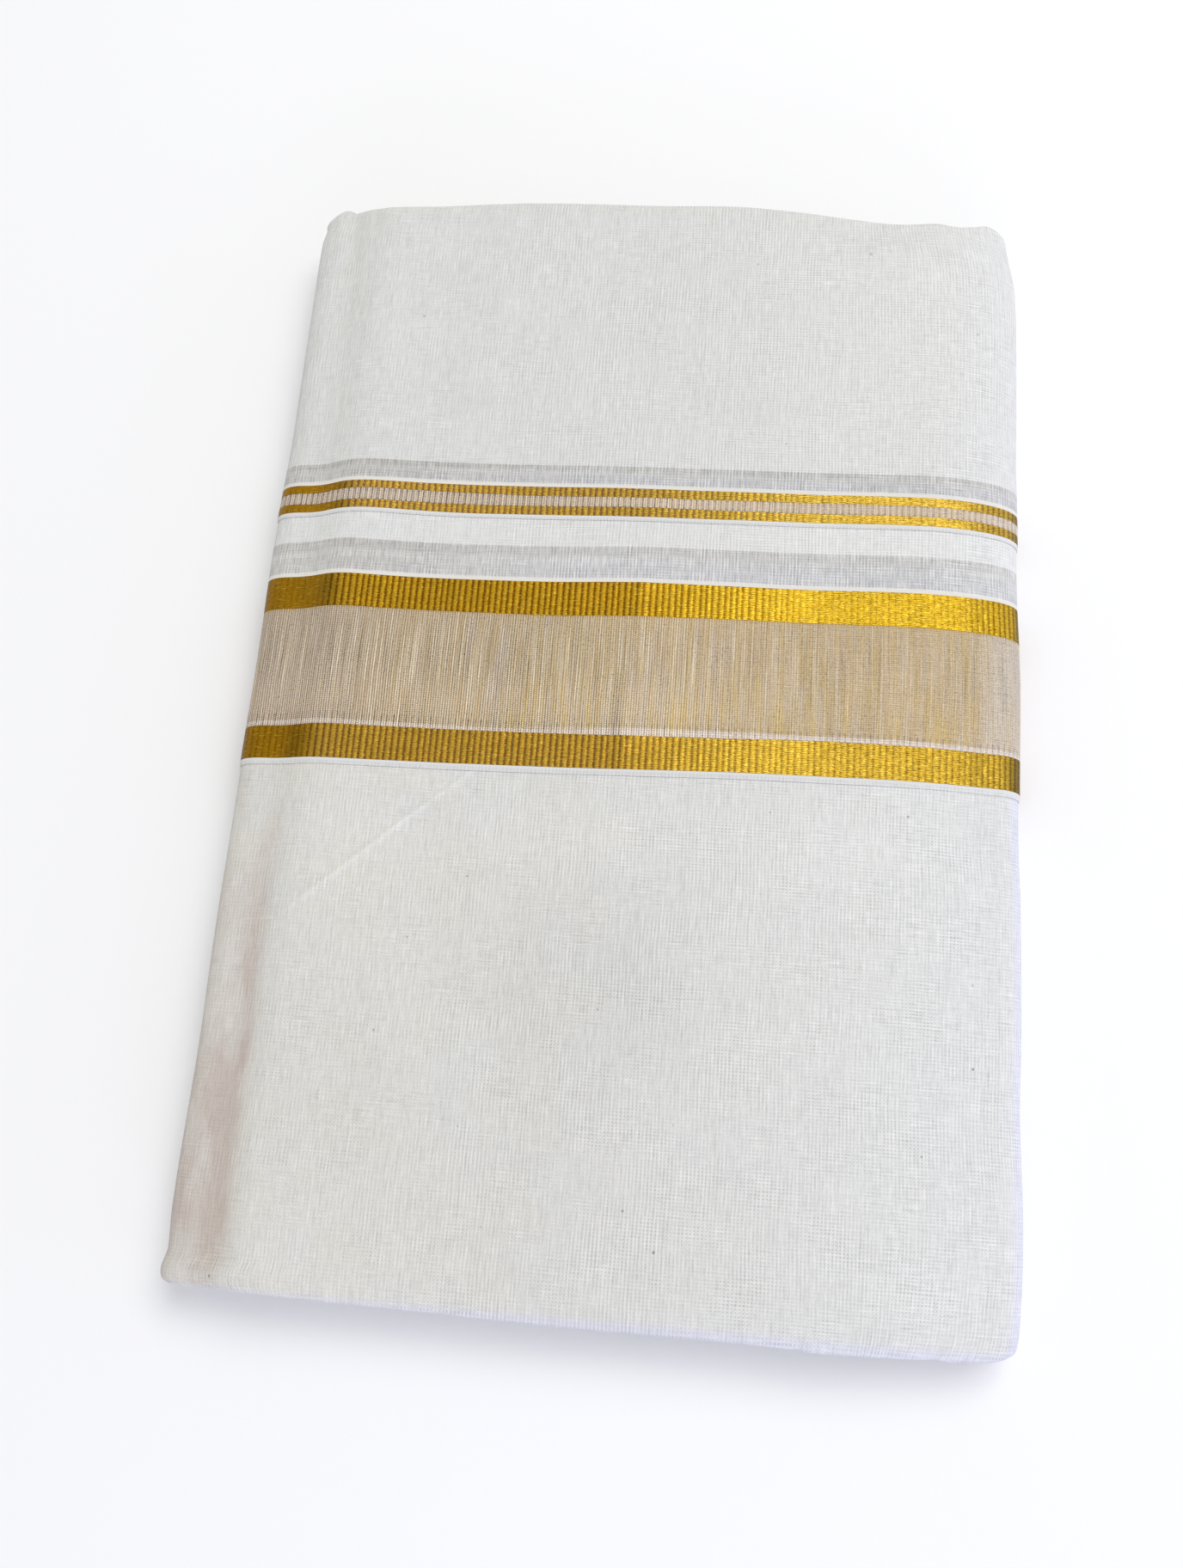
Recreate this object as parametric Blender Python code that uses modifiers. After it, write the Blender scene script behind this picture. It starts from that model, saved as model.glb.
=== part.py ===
"""Folded dhoti cloth: a double mundu, folded flat into a bundle, with woven gold borders across it.

The cloth is folded in its width first, which leaves two flaps on its front, one over the other, each with a woven
border at its free edge. That strip is then folded four times in half, so the last fold is the smooth round one at +X and
three groups of folds lie at -X. X runs along the borders, +Y points to the far edge and +Z is up. The bundle lies flat on
its underside at Z = 0, and the origin is the middle of its box's bottom. Lengths in the tables are in millimetres.
"""

import math

import bmesh
import bpy

MM = 0.001

# Sizes of the bundle, mm
HEIGHT = 26.4  # top of the lower panel above the ground, at Y = 0
TAPER = 0.0064  # rise of that top towards the far edge, where more layers lie, mm per mm
MID = 13.2  # height of the round fold's widest line
ROLL_A = 34.0  # how far in from the right side the top starts to round down
ROLL_UNDER = 18.0  # the same under the round fold
ROLL_END = 50.0  # the walls end this many degrees past the widest line, just above the ground
LUMP_A = 8.4  # half width of the fold group at the left
LUMP_B = 5.2  # half its height
LUMP_DROP = 3.1  # how far the fold group's top lies below the bundle's top
LUMP_END = 48.0  # the walls end this many degrees under the fold group's widest line
WALL = 1.0  # thickness of one cloth wall
GAP = 0.3  # between pieces
LAYER = WALL + GAP  # step from one panel to the next
DROOP = 1.5  # how far the top falls at the near and far edges
DROOP_REACH = 9.0  # over this distance from the edge

# Shoulder at the left, where the top falls to the fold group: distance in from the left side, height above the top
SHOULDER = [
    # in, rise
    (8.4, -3.1),
    (13.0, -2.8),
    (18.0, -1.5),
    (24.0, 0.2),
    (30.0, 0.8),
    (42.0, 0.4),
    (67.0, 0.0),
]

# Sides of the lower panel by Y: left and right
SIDES = [
    # y, left, right
    (-196.0, -126.2, 125.2),
    (-188.0, -127.2, 126.2),
    (-120.0, -127.1, 126.6),
    (0.0, -126.4, 127.0),
    (100.0, -125.2, 126.4),
    (165.0, -124.9, 126.4),
    (186.0, -124.8, 124.2),
    (196.0, -124.8, 123.6),
]

# Near and far edges along the cloth, by the distance along it from the middle
EDGES = [
    # along, near, far
    (-150.0, -186.1, 185.1),
    (-134.0, -187.5, 186.1),
    (-126.0, -189.7, 187.5),
    (-119.0, -190.2, 188.9),
    (-108.0, -190.1, 189.1),
    (-86.0, -190.4, 189.2),
    (-58.0, -191.0, 191.4),
    (-30.0, -191.5, 192.2),
    (0.0, -191.8, 192.2),
    (30.0, -191.9, 192.1),
    (54.0, -192.2, 189.9),
    (76.0, -192.6, 186.9),
    (92.0, -192.4, 186.3),
    (108.0, -192.1, 186.8),
    (118.0, -191.8, 188.7),
    (126.0, -190.6, 188.7),
    (133.0, -188.7, 186.7),
    (160.0, -187.1, 184.9),
]

# Lines across the cloth where the panels and woven bands meet: distance in Y at the middle, slope along the cloth
LINES = {
    # name: (y, slope)
    "middle_edge": (-26.0, 0.0160),
    "wide_gold_lower": (-24.4, 0.0158),
    "wide_beige": (-13.3, 0.0145),
    "wide_gold_upper": (28.1, 0.0085),
    "middle_flap": (40.1, 0.0092),
    "upper_edge": (62.7, 0.0075),
    "narrow_gold_lower": (64.3, 0.0075),
    "narrow_beige": (67.5, 0.0080),
    "narrow_gold_upper": (71.5, 0.0058),
    "upper_flap": (74.7, 0.0062),
}

# The hidden layers from the ground up: height, how far in the near and far edges lie, left side
LAYERS = [
    # height, edge in, left
    (0.0, 3.6, -121.0),
    (0.9, 1.6, -122.6),
    (2.4, 1.9, -122.8),
    (3.0, 3.4, -118.6),
    (3.6, 1.6, -123.4),
    (5.2, 1.5, -123.6),
    (6.0, 3.2, -118.6),
    (6.7, 1.2, -123.8),
    (8.2, 0.9, -125.4),
    (9.6, 1.2, -124.0),
    (10.2, 3.2, -117.2),
    (11.6, 1.4, -117.0),
    (13.4, 1.3, -117.6),
    (14.3, 3.2, -118.6),
    (15.0, 1.5, -121.2),
    (17.0, 1.6, -124.2),
    (18.1, 3.4, -124.5),
    (19.2, 1.8, -124.2),
    (21.2, 2.6, -121.0),
    (22.1, 4.4, -111.0),
    (22.8, 4.6, -104.0),
    (24.2, 9.5, -99.0),
]
CORNER = 4.0  # radius of the hidden layers' corners
INNER_X = [-95.0, -60.0, -30.0, 0.0, 30.0, 54.0, 74.0]  # where the near and far edges of the hidden layers have points
INNER_Y = [-120.0, -40.0, 40.0, 110.0]  # the same for their sides
CENTRE = (0.5, -0.1)  # middle of the box, in the tables' X and Y

CLOTH_WHITE = (0.80, 0.80, 0.78)
GOLD = (0.60, 0.40, 0.06)
BEIGE = (0.62, 0.54, 0.41)


def table(rows, x, column=1):
    """The value at x between a table's rows, on a smooth curve."""
    if x <= rows[0][0]:
        return rows[0][column]
    if x >= rows[-1][0]:
        return rows[-1][column]
    i = max(k for k in range(len(rows) - 1) if rows[k][0] <= x)
    before, a, b, after = rows[max(i - 1, 0)], rows[i], rows[i + 1], rows[min(i + 2, len(rows) - 1)]
    h = b[0] - a[0]
    t = (x - a[0]) / h
    slope_a = (b[column] - before[column]) / max(b[0] - before[0], 1e-9)
    slope_b = (after[column] - a[column]) / max(after[0] - a[0], 1e-9)
    return (
        (2 * t**3 - 3 * t**2 + 1) * a[column]
        + (t**3 - 2 * t**2 + t) * h * slope_a
        + (-2 * t**3 + 3 * t**2) * b[column]
        + (t**3 - t**2) * h * slope_b
    )


def rise(y):
    """How much thicker the bundle is at y than at Y = 0, as a ratio."""
    return (HEIGHT + TAPER * y) / HEIGHT


def section(y):
    """The lower panel's outer line at y, from the fold group at the left over the top and round the fold at the right."""
    left, right = table(SIDES, y, 1), table(SIDES, y, 2)
    lump_z = HEIGHT - LUMP_DROP - LUMP_B
    points = []
    for degrees in (-LUMP_END, -24, 0, 24, 48, 70):
        a = math.radians(degrees)
        points.append((left + LUMP_A - LUMP_A * math.cos(a), lump_z + LUMP_B * math.sin(a)))
    for inward, lift in SHOULDER[:-1]:
        points.append((left + inward, HEIGHT + lift))
    for x in (-60.0, -15.0, 30.0, 70.0):
        points.append((x, HEIGHT))
    for degrees in (90, 72, 55, 40, 26, 13, 0):
        a = math.radians(degrees)
        points.append((right - ROLL_A + ROLL_A * math.cos(a), MID + (HEIGHT - MID) * math.sin(a)))
    for degrees in (17, 34, ROLL_END):
        a = math.radians(degrees)
        points.append((right - ROLL_UNDER + ROLL_UNDER * math.cos(a), MID - MID * math.sin(a)))
    return points


ALONG = []  # distance along the cloth of each of the section's points, from the middle of the top
_line = section(0.0)
_far = [0.0]
for _a, _b in zip(_line, _line[1:]):
    _far.append(_far[-1] + math.dist(_a, _b))
_zero = next(
    _far[i] + (0.0 - _line[i][0]) for i in range(len(_line) - 1) if _line[i][0] <= 0.0 < _line[i + 1][0] and _line[i][1] > MID
)
ALONG = [f - _zero for f in _far]


def droop(k, y):
    """How far the top has fallen at y, because the cloth rounds down at its near and far edges."""
    inside = min(y - table(EDGES, ALONG[k], 1), table(EDGES, ALONG[k], 2) - y)
    t = min(max(1.0 - inside / DROOP_REACH, 0.0), 1.0)
    return DROOP * t * t


def surface(k, y, out):
    """A point of the k-th place along the section, at y, moved out from the lower panel's outer face."""
    line = section(y)
    before, after = line[max(k - 1, 0)], line[min(k + 1, len(line) - 1)]
    dx, dz = after[0] - before[0], after[1] - before[1]
    size = math.hypot(dx, dz)
    x, z = line[k]
    fall = droop(k, y) * max(z - MID, 0.0) / (HEIGHT - MID)
    x, z = x - dz / size * out, (z - fall) * rise(y) + dx / size * out
    return (x - CENTRE[0]) * MM, (y - CENTRE[1]) * MM, z * MM


def along_at(x, height):
    """Distance along the cloth at a place inside the bundle, which grows with the turn of the folds at both sides."""
    start = table(SIDES, 0.0, 2) - ROLL_A
    if x < -118.0:
        return -118.0 - (-118.0 - x) * 1.9
    if x <= start:
        return x
    turn = math.degrees(math.atan2((height - MID) / (HEIGHT - MID), (x - start) / ROLL_A))
    return start + (90.0 - turn) / 90.0 * (ALONG[-4] - start)


def edge(name, k):
    """Where a line across the cloth runs, at the k-th place along it."""
    u = ALONG[k]
    if name == "near":
        return table(EDGES, u, 1)
    if name == "far":
        return table(EDGES, u, 2)
    y, slope = LINES[name]
    return y + slope * u


def material(name, color, roughness, metallic):
    m = bpy.data.materials.new(name)
    m.use_nodes = True
    shader = m.node_tree.nodes["Principled BSDF"]
    shader.inputs["Base Color"].default_value = (*color, 1.0)
    shader.inputs["Roughness"].default_value = roughness
    shader.inputs["Metallic"].default_value = metallic
    return m


def add(name, bm, color, roughness=0.85, metallic=0.0):
    mesh = bpy.data.meshes.new(name)
    bmesh.ops.recalc_face_normals(bm, faces=bm.faces)
    bm.to_mesh(mesh)
    bm.free()
    obj = bpy.data.objects.new(name, mesh)
    collection.objects.link(obj)
    mesh.materials.append(material(name + "_cloth", color, roughness, metallic))
    mesh.shade_smooth()
    mesh.set_sharp_from_angle(angle=math.radians(40))
    return obj


def panel(name, rows, color, roughness=0.85, metallic=0.0):
    """A wall of cloth laid along the section. Each row is (first line, second line, share, shift in Y, out)."""
    bm = bmesh.new()
    grid = []
    for k in range(len(ALONG)):
        ring = []
        for first, second, share, shift, out in rows:
            y = (1 - share) * edge(first, k) + share * edge(second, k) + shift
            ring.append(bm.verts.new(surface(k, y, out)))
        grid.append(ring)
    for a, b in zip(grid, grid[1:]):
        for i in range(len(rows) - 1):
            bm.faces.new((a[i], b[i], b[i + 1], a[i + 1]))
    obj = add(name, bm, color, roughness, metallic)
    wall = obj.modifiers.new("Wall", "SOLIDIFY")
    wall.thickness = WALL * MM
    wall.offset = -1.0
    wall.use_even_offset = True
    return obj


def across(first, second, shares, start, end, out):
    """Rows of a panel from one line to another, with its two edges moved in by start and end."""
    return [
        (first, second, share, start if share == 0 else end if share == 1 else 0.0, out)
        for share in shares
    ]


def corner_points(x, y, toward_x, toward_y):
    """Two points of a round corner that starts at x on an edge at y and turns towards a side."""
    turns = [math.radians(30), math.radians(60)]
    return [(x + toward_x * CORNER * math.sin(a), y - toward_y * CORNER * (1 - math.cos(a))) for a in turns]


def core():
    """The hidden layers: closed rings from the ground up, which pull in between one layer and the next."""
    bm = bmesh.new()
    rings = []
    middle = table(SIDES, 0.0, 1)
    inside = LAYER + 0.5  # the hidden layers lie this far inside the lower panel's outer face
    for height, edge_in, left in LAYERS:
        if height >= MID:
            s = min((height - MID) / (HEIGHT - inside - MID), 1.0)
            right_in = (1 - math.sqrt(max(1 - s * s, 0.0))) * (ROLL_A - inside) + inside
        else:
            s = min((MID - height) / (MID - inside), 1.0)
            right_in = (1 - math.sqrt(max(1 - s * s, 0.0))) * (ROLL_UNDER - inside) + inside
            right_in = min(right_in, 12.2)
        near_x, far_x = table(SIDES, -188.0, 2) - right_in - CORNER, table(SIDES, 183.0, 2) - right_in - CORNER
        left_near, left_far = left + table(SIDES, -188.0, 1) - middle, left + table(SIDES, 183.0, 1) - middle
        near_xs = [left_near + CORNER, *INNER_X, near_x]
        far_xs = [left_far + CORNER, *INNER_X, far_x]
        outline = [(x, table(EDGES, along_at(x, height), 1) + edge_in) for x in near_xs]
        low, high = outline[-1][1], table(EDGES, along_at(far_x, height), 2) - edge_in
        outline += corner_points(near_x, low, 1, -1)
        outline += [(table(SIDES, y, 2) - right_in, y) for y in (low + CORNER, *INNER_Y, high - CORNER)]
        outline += reversed(corner_points(far_x, high, 1, 1))
        outline += [(x, table(EDGES, along_at(x, height), 2) - edge_in) for x in reversed(far_xs)]
        low, high = outline[0][1], outline[-1][1]
        outline += corner_points(left_far + CORNER, high, -1, 1)
        outline += [(left + table(SIDES, y, 1) - middle, y) for y in (high - CORNER, *reversed(INNER_Y), low + CORNER)]
        outline += reversed(corner_points(left_near + CORNER, low, -1, -1))
        rings.append(
            [bm.verts.new(((x - CENTRE[0]) * MM, (y - CENTRE[1]) * MM, height * rise(y) * MM)) for x, y in outline]
        )
    count = len(rings[0])
    for ring in rings:
        assert len(ring) == count, "each ring has the same number of points"
    for low, high in zip(rings, rings[1:]):
        for i in range(count):
            j = (i + 1) % count
            bm.faces.new((low[i], low[j], high[j], high[i]))
    bm.faces.new(list(reversed(rings[0])))
    bm.faces.new(rings[-1])
    return add("folded_core", bm, CLOTH_WHITE)


for old in list(bpy.data.objects):
    bpy.data.objects.remove(old, do_unlink=True)

collection = bpy.data.collections.new("folded_dhoti")
bpy.context.scene.collection.children.link(collection)

core()

HALF = GAP / 2
LOWER_OUT, MIDDLE_OUT, UPPER_OUT = 0.0, LAYER, 2 * LAYER

panel(
    "lower_panel",
    across("near", "far", (0, 0.012, 0.024, 0.10, 0.25, 0.43, 0.6, 0.8, 0.93, 0.976, 1), 0.0, -2.4, LOWER_OUT),
    CLOTH_WHITE,
)
panel("middle_selvedge", across("middle_edge", "wide_gold_lower", (0, 1), 0.0, -HALF, MIDDLE_OUT), CLOTH_WHITE)
panel(
    "wide_gold_lower",
    across("wide_gold_lower", "wide_beige", (0, 1), HALF, -HALF, MIDDLE_OUT),
    GOLD,
    0.38,
    0.7,
)
panel("wide_beige", across("wide_beige", "wide_gold_upper", (0, 1), HALF, -HALF, MIDDLE_OUT), BEIGE, 0.6, 0.2)
panel(
    "wide_gold_upper",
    across("wide_gold_upper", "middle_flap", (0, 1), HALF, -HALF, MIDDLE_OUT),
    GOLD,
    0.38,
    0.7,
)
panel(
    "middle_flap",
    across("middle_flap", "far", (0, 0.3, 0.6, 0.86, 0.945, 1), HALF, -2.4, MIDDLE_OUT),
    CLOTH_WHITE,
)
panel("upper_selvedge", across("upper_edge", "narrow_gold_lower", (0, 1), 0.0, -HALF, UPPER_OUT), CLOTH_WHITE)
panel(
    "narrow_gold_lower",
    across("narrow_gold_lower", "narrow_beige", (0, 1), HALF, -HALF, UPPER_OUT),
    GOLD,
    0.38,
    0.7,
)
panel("narrow_beige", across("narrow_beige", "narrow_gold_upper", (0, 1), HALF, -HALF, UPPER_OUT), BEIGE, 0.6, 0.2)
panel(
    "narrow_gold_upper",
    across("narrow_gold_upper", "upper_flap", (0, 1), HALF, -HALF, UPPER_OUT),
    GOLD,
    0.38,
    0.7,
)
panel(
    "upper_flap",
    across("upper_flap", "far", (0, 0.3, 0.6, 0.84, 0.93), HALF, 0.0, UPPER_OUT)
    + [
        ("far", "far", 0.0, -2.4, UPPER_OUT),
        ("far", "far", 0.0, -1.1, UPPER_OUT - 0.4),
        ("far", "far", 0.0, -0.3, UPPER_OUT - 1.3),
        ("far", "far", 0.0, 0.0, UPPER_OUT - 2.4),
        ("far", "far", 0.0, 0.0, UPPER_OUT - 3.6),
    ],
    CLOTH_WHITE,
)
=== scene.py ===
"""Looks of the folded dhoti: woven cotton panels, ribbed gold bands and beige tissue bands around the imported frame.

The tables hold millimetres in the same layout as the solids: X along the borders, Y across them, Z up. CENTRE is taken
off at the end, so that the middle of the bundle's box lies on the origin. The cloth is followed along its own length: the
outer strip runs from under the fold group at the left, over the top, round the smooth fold at the right and back under the
bundle to its free end, and the hidden strips run to and fro between the folds.
"""

import math

import bmesh
import bpy
import numpy as np
from mathutils import Matrix, Vector


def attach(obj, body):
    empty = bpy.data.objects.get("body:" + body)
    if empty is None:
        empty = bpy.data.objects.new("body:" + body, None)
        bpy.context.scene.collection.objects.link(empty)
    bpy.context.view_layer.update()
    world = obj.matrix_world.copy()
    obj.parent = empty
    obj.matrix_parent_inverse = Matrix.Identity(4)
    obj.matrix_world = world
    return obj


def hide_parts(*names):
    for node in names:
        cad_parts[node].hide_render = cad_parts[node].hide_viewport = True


MM = 0.001

# ---------------------------------------------------------------- sizes of the bundle, mm
HEIGHT = 26.4  # top of the lower panel at Y = 0
TAPER = 0.0064  # its rise towards the far edge
MID = 13.2  # height of the round fold's widest line
LEFT0, RIGHT0 = -127.0, 127.7  # sides at Y = 0
ROLL_A, ROLL_UNDER = 34.0, 18.0  # how far the round fold reaches in, on top and underneath
LUMP_A, LUMP_B, LUMP_Z = 8.4, 5.2, 18.1  # half width, half height and middle of the fold group at the left
END_X = -122.0  # free end of the outer strip, underneath
UNDER_X = -100.0  # where the outer strip goes in between the layers, under the fold group
STRIPS = 16
PITCH = HEIGHT / STRIPS
THICK = 0.40  # a cloth shell, with the air under it
MIDDLE_OUT, UPPER_OUT = 0.45, 0.9  # how far the middle and the upper flap lie outside the lower panel
CENTRE = (0.5, -0.1)

SHOULDER = [
    # in from the left side, height above the top
    (8.4, -3.1),
    (12.0, -2.9),
    (16.5, -2.0),
    (20.5, -0.6),
    (24.5, 0.6),
    (30.0, 1.1),
    (36.0, 0.95),
    (48.0, 0.4),
    (70.0, 0.0),
]

LEFT = [
    # y, left side of the lower panel
    (-193.0, -122.0),
    (-190.6, -124.6),
    (-188.6, -127.2),
    (-186.2, -127.9),
    (-183.6, -127.5),
    (-180.8, -126.5),
    (-175.0, -126.7),
    (-168.0, -127.1),
    (-120.0, -127.1),
    (-60.0, -127.1),
    (-10.0, -127.1),
    (32.0, -127.0),
    (60.0, -126.6),
    (98.0, -126.0),
    (152.0, -126.0),
    (177.0, -125.7),
    (182.0, -124.9),
    (185.0, -125.3),
    (187.5, -124.4),
    (190.0, -122.6),
]

RIGHT = [
    # y, right side of the lower panel
    (-193.0, 122.8),
    (-189.7, 124.1),
    (-187.2, 124.8),
    (-184.0, 125.3),
    (-179.0, 125.7),
    (-171.0, 126.3),
    (-160.0, 126.7),
    (-148.0, 126.8),
    (-135.0, 126.5),
    (-123.0, 126.3),
    (-110.0, 126.7),
    (-97.0, 127.1),
    (-57.0, 127.4),
    (-43.0, 127.0),
    (-20.0, 127.2),
    (15.0, 127.9),
    (46.0, 127.2),
    (79.0, 127.2),
    (95.0, 127.1),
    (112.0, 127.4),
    (146.0, 127.8),
    (164.0, 127.6),
    (170.0, 126.9),
    (176.0, 125.8),
    (182.0, 124.9),
    (188.0, 124.5),
    (192.0, 123.8),
]

EDGES = [
    # along, near, far
    (-170.0, -186.0, 184.6),
    (-142.0, -186.4, 185.0),
    (-134.0, -187.6, 185.8),
    (-129.0, -188.8, 186.3),
    (-125.5, -189.9, 187.3),
    (-122.8, -190.2, 189.5),
    (-119.8, -190.2, 189.1),
    (-117.6, -190.1, 188.0),
    (-115.4, -190.0, 189.0),
    (-112.4, -190.0, 189.1),
    (-109.4, -190.1, 188.8),
    (-104.0, -190.1, 188.4),
    (-99.7, -190.2, 188.1),
    (-87.0, -190.4, 188.7),
    (-61.0, -190.9, 190.7),
    (-47.0, -191.2, 191.5),
    (0.0, -191.8, 191.7),
    (28.0, -191.9, 191.7),
    (40.0, -191.9, 190.9),
    (53.0, -192.1, 189.5),
    (65.5, -192.7, 187.6),
    (78.0, -192.6, 186.3),
    (90.0, -192.4, 185.7),
    (96.0, -192.3, 185.9),
    (102.3, -192.0, 186.4),
    (108.7, -192.2, 186.1),
    (115.5, -192.0, 187.6),
    (120.2, -191.8, 189.3),
    (123.2, -191.4, 189.4),
    (126.0, -190.7, 188.8),
    (130.0, -189.5, 187.4),
    (137.0, -188.2, 185.8),
    (160.0, -187.2, 184.6),
    (176.0, -187.8, 185.2),
    (192.0, -189.4, 186.6),
    (222.0, -190.4, 188.6),
    (290.0, -191.0, 190.2),
    (360.0, -190.4, 189.4),
    (420.0, -189.8, 188.0),
]

# Small dents in the near edge
NICKS = [
    # x, half width, how far in
    (-109.7, 1.3, 0.45),
    (-96.0, 2.0, 0.15),
    (-75.8, 2.6, -0.20),
    (-41.0, 3.0, 0.14),
    (12.0, 2.2, 0.16),
    (61.5, 1.6, 0.45),
    (104.5, 1.5, 0.40),
    (112.7, 1.4, 0.50),
]

# How far lower the round fold starts to turn down on top, by Y
SAG = [
    # y, fall
    (-195.0, 1.6),
    (-120.0, 2.2),
    (-20.0, 2.4),
    (35.0, 0.9),
    (75.0, 0.1),
    (195.0, 0.4),
]

# Woven lines on the two flaps: Y at places along the cloth
MARKS = (-150.0, -126.0, -112.0, -100.0, -90.0, -60.0, -30.0, 0.0, 30.0, 60.0, 90.0, 120.0, 150.0)
LINES = {
    "middle_edge": (-28.6, -28.5, -28.3, -28.3, -28.2, -27.9, -27.4, -26.8, -26.0, -25.7, -25.4, -25.0, -24.8),
    "wide_gold_lower": (-26.5, -26.4, -26.2, -26.2, -26.1, -25.7, -25.2, -24.6, -23.8, -23.5, -23.2, -22.8, -22.6),
    "wide_beige": (-15.6, -15.4, -15.0, -14.7, -14.6, -14.3, -13.9, -13.3, -12.7, -11.9, -11.8, -11.5, -11.3),
    "wide_gold_upper": (26.3, 26.5, 27.0, 27.2, 27.2, 27.2, 27.3, 28.3, 28.7, 28.7, 28.9, 29.1, 29.2),
    "middle_flap": (37.9, 38.2, 38.8, 39.1, 39.0, 39.0, 39.3, 40.4, 40.4, 40.4, 40.8, 41.1, 41.2),
    "upper_edge": (61.0, 61.0, 61.3, 61.8, 62.1, 62.0, 62.3, 62.9, 62.9, 63.0, 63.3, 63.5, 63.5),
    "narrow_gold_lower": (62.6, 62.6, 62.9, 63.4, 63.7, 63.5, 63.9, 64.5, 64.5, 64.6, 64.9, 65.1, 65.1),
    "narrow_beige": (65.6, 65.7, 65.9, 66.4, 66.7, 66.7, 67.1, 68.0, 67.8, 67.9, 68.2, 68.3, 68.3),
    "narrow_gold_upper": (69.8, 69.9, 70.2, 70.8, 71.2, 71.1, 71.0, 71.7, 71.7, 71.9, 72.0, 72.1, 72.1),
    "upper_flap": (72.8, 72.9, 73.2, 73.7, 74.0, 74.1, 74.4, 75.0, 75.0, 75.0, 75.2, 75.3, 75.3),
}

# Soft creases on top, each a short run with a rise (+) or a trough (-)
CREASES = [
    # from x, from y, to x, to y, width, rise
    (-46.0, -24.0, -78.0, -55.0, 1.7, 0.15),
    (-78.0, -55.0, -104.0, -77.0, 1.7, 0.20),
    (-104.0, -77.0, -117.0, -82.0, 1.9, 0.14),
    (-110.5, 192.0, -108.0, 150.0, 2.4, 0.45),
    (-108.0, 150.0, -107.0, 84.0, 3.0, 0.25),
    (-115.5, 190.0, -114.0, 165.0, 2.0, -0.50),
    (76.0, 190.0, 101.0, 172.0, 6.0, -0.55),
    (96.0, 190.0, 118.0, 160.0, 5.0, 0.30),
    (26.0, 120.0, 4.0, 60.0, 3.2, 0.10),
    (3.0, 60.0, 0.0, -26.0, 2.2, 0.22),
    (0.0, -26.0, -4.0, -120.0, 3.4, 0.10),
    (64.0, -40.0, 70.0, -170.0, 7.0, 0.10),
    (-58.0, 95.0, -52.0, 185.0, 6.0, 0.12),
    (60.0, 88.0, 66.0, 176.0, 7.0, -0.12),
    (-30.0, -60.0, -34.0, -186.0, 6.0, -0.10),
    (-100.0, -100.0, -104.0, -186.0, 3.0, 0.16),
    (104.5, -193.0, 102.0, -184.5, 1.3, -0.40),
    (112.7, -193.0, 111.5, -185.0, 1.3, -0.40),
    (61.5, -193.0, 60.5, -186.5, 1.4, -0.30),
]


# ---------------------------------------------------------------- tables as smooth curves
class Curve:
    """A smooth curve through a table's rows; flat beyond its ends."""

    def __init__(self, rows, column=1):
        self.x = np.array([r[0] for r in rows], float)
        self.y = np.array([r[column] for r in rows], float)
        slope = np.zeros(len(rows))
        slope[1:-1] = (self.y[2:] - self.y[:-2]) / (self.x[2:] - self.x[:-2])
        slope[0] = (self.y[1] - self.y[0]) / (self.x[1] - self.x[0])
        slope[-1] = (self.y[-1] - self.y[-2]) / (self.x[-1] - self.x[-2])
        self.slope = slope

    def __call__(self, x):
        x = np.clip(np.asarray(x, float), self.x[0], self.x[-1])
        i = np.clip(np.searchsorted(self.x, x, side="right") - 1, 0, len(self.x) - 2)
        h = self.x[i + 1] - self.x[i]
        t = (x - self.x[i]) / h
        return (
            (2 * t**3 - 3 * t**2 + 1) * self.y[i]
            + (t**3 - 2 * t**2 + t) * h * self.slope[i]
            + (-2 * t**3 + 3 * t**2) * self.y[i + 1]
            + (t**3 - t**2) * h * self.slope[i + 1]
        )


def ramp(x, a, b):
    """0 before a, 1 after b, smooth in between."""
    t = np.clip((np.asarray(x, float) - a) / (b - a), 0, 1)
    return t * t * (3 - 2 * t)


left_side, right_side = Curve(LEFT), Curve(RIGHT)
near_line, far_along = Curve(EDGES, 1), Curve(EDGES, 2)


def near_along(x):
    """The near edge, with its small dents."""
    x = np.asarray(x, float)
    return near_line(x) + sum(depth * np.exp(-(((x - at) / half) ** 2)) for at, half, depth in NICKS)


shoulder, sag = Curve(SHOULDER), Curve(SAG)
line = {name: Curve(list(zip(MARKS, ys))) for name, ys in LINES.items()}
line["near"], line["far"] = near_along, far_along


def waves(x, y, parts):
    """A smooth uneven field from a few long waves, each with its length in x and y, its turn and its height."""
    total = np.zeros(np.broadcast(x, y).shape)
    for length_x, length_y, turn, height in parts:
        total = total + height * np.sin(2 * math.pi * (x / length_x + y / length_y) + turn)
    return total


def relief(x, y):
    """Uneven height of the top: long soft waves and the creases."""
    z = waves(
        x,
        y,
        [
            (97.0, 260.0, 0.6, 0.10),
            (-61.0, 143.0, 2.1, 0.07),
            (171.0, -88.0, 4.4, 0.10),
            (43.0, 310.0, 1.2, 0.05),
            (-230.0, 57.0, 3.3, 0.05),
        ],
    )
    for ax, ay, bx, by, width, height in CREASES:
        dx, dy = bx - ax, by - ay
        size = math.hypot(dx, dy)
        along = ((x - ax) * dx + (y - ay) * dy) / size
        off = ((x - ax) * dy - (y - ay) * dx) / size
        ends = 1 / (1 + np.exp(-np.clip(along / (0.9 * width), -40, 40)))
        ends = ends / (1 + np.exp(np.clip((along - size) / (0.9 * width), -40, 40)))
        z = z + height * ends * np.exp(-((off / width) ** 2))
    return z


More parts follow.
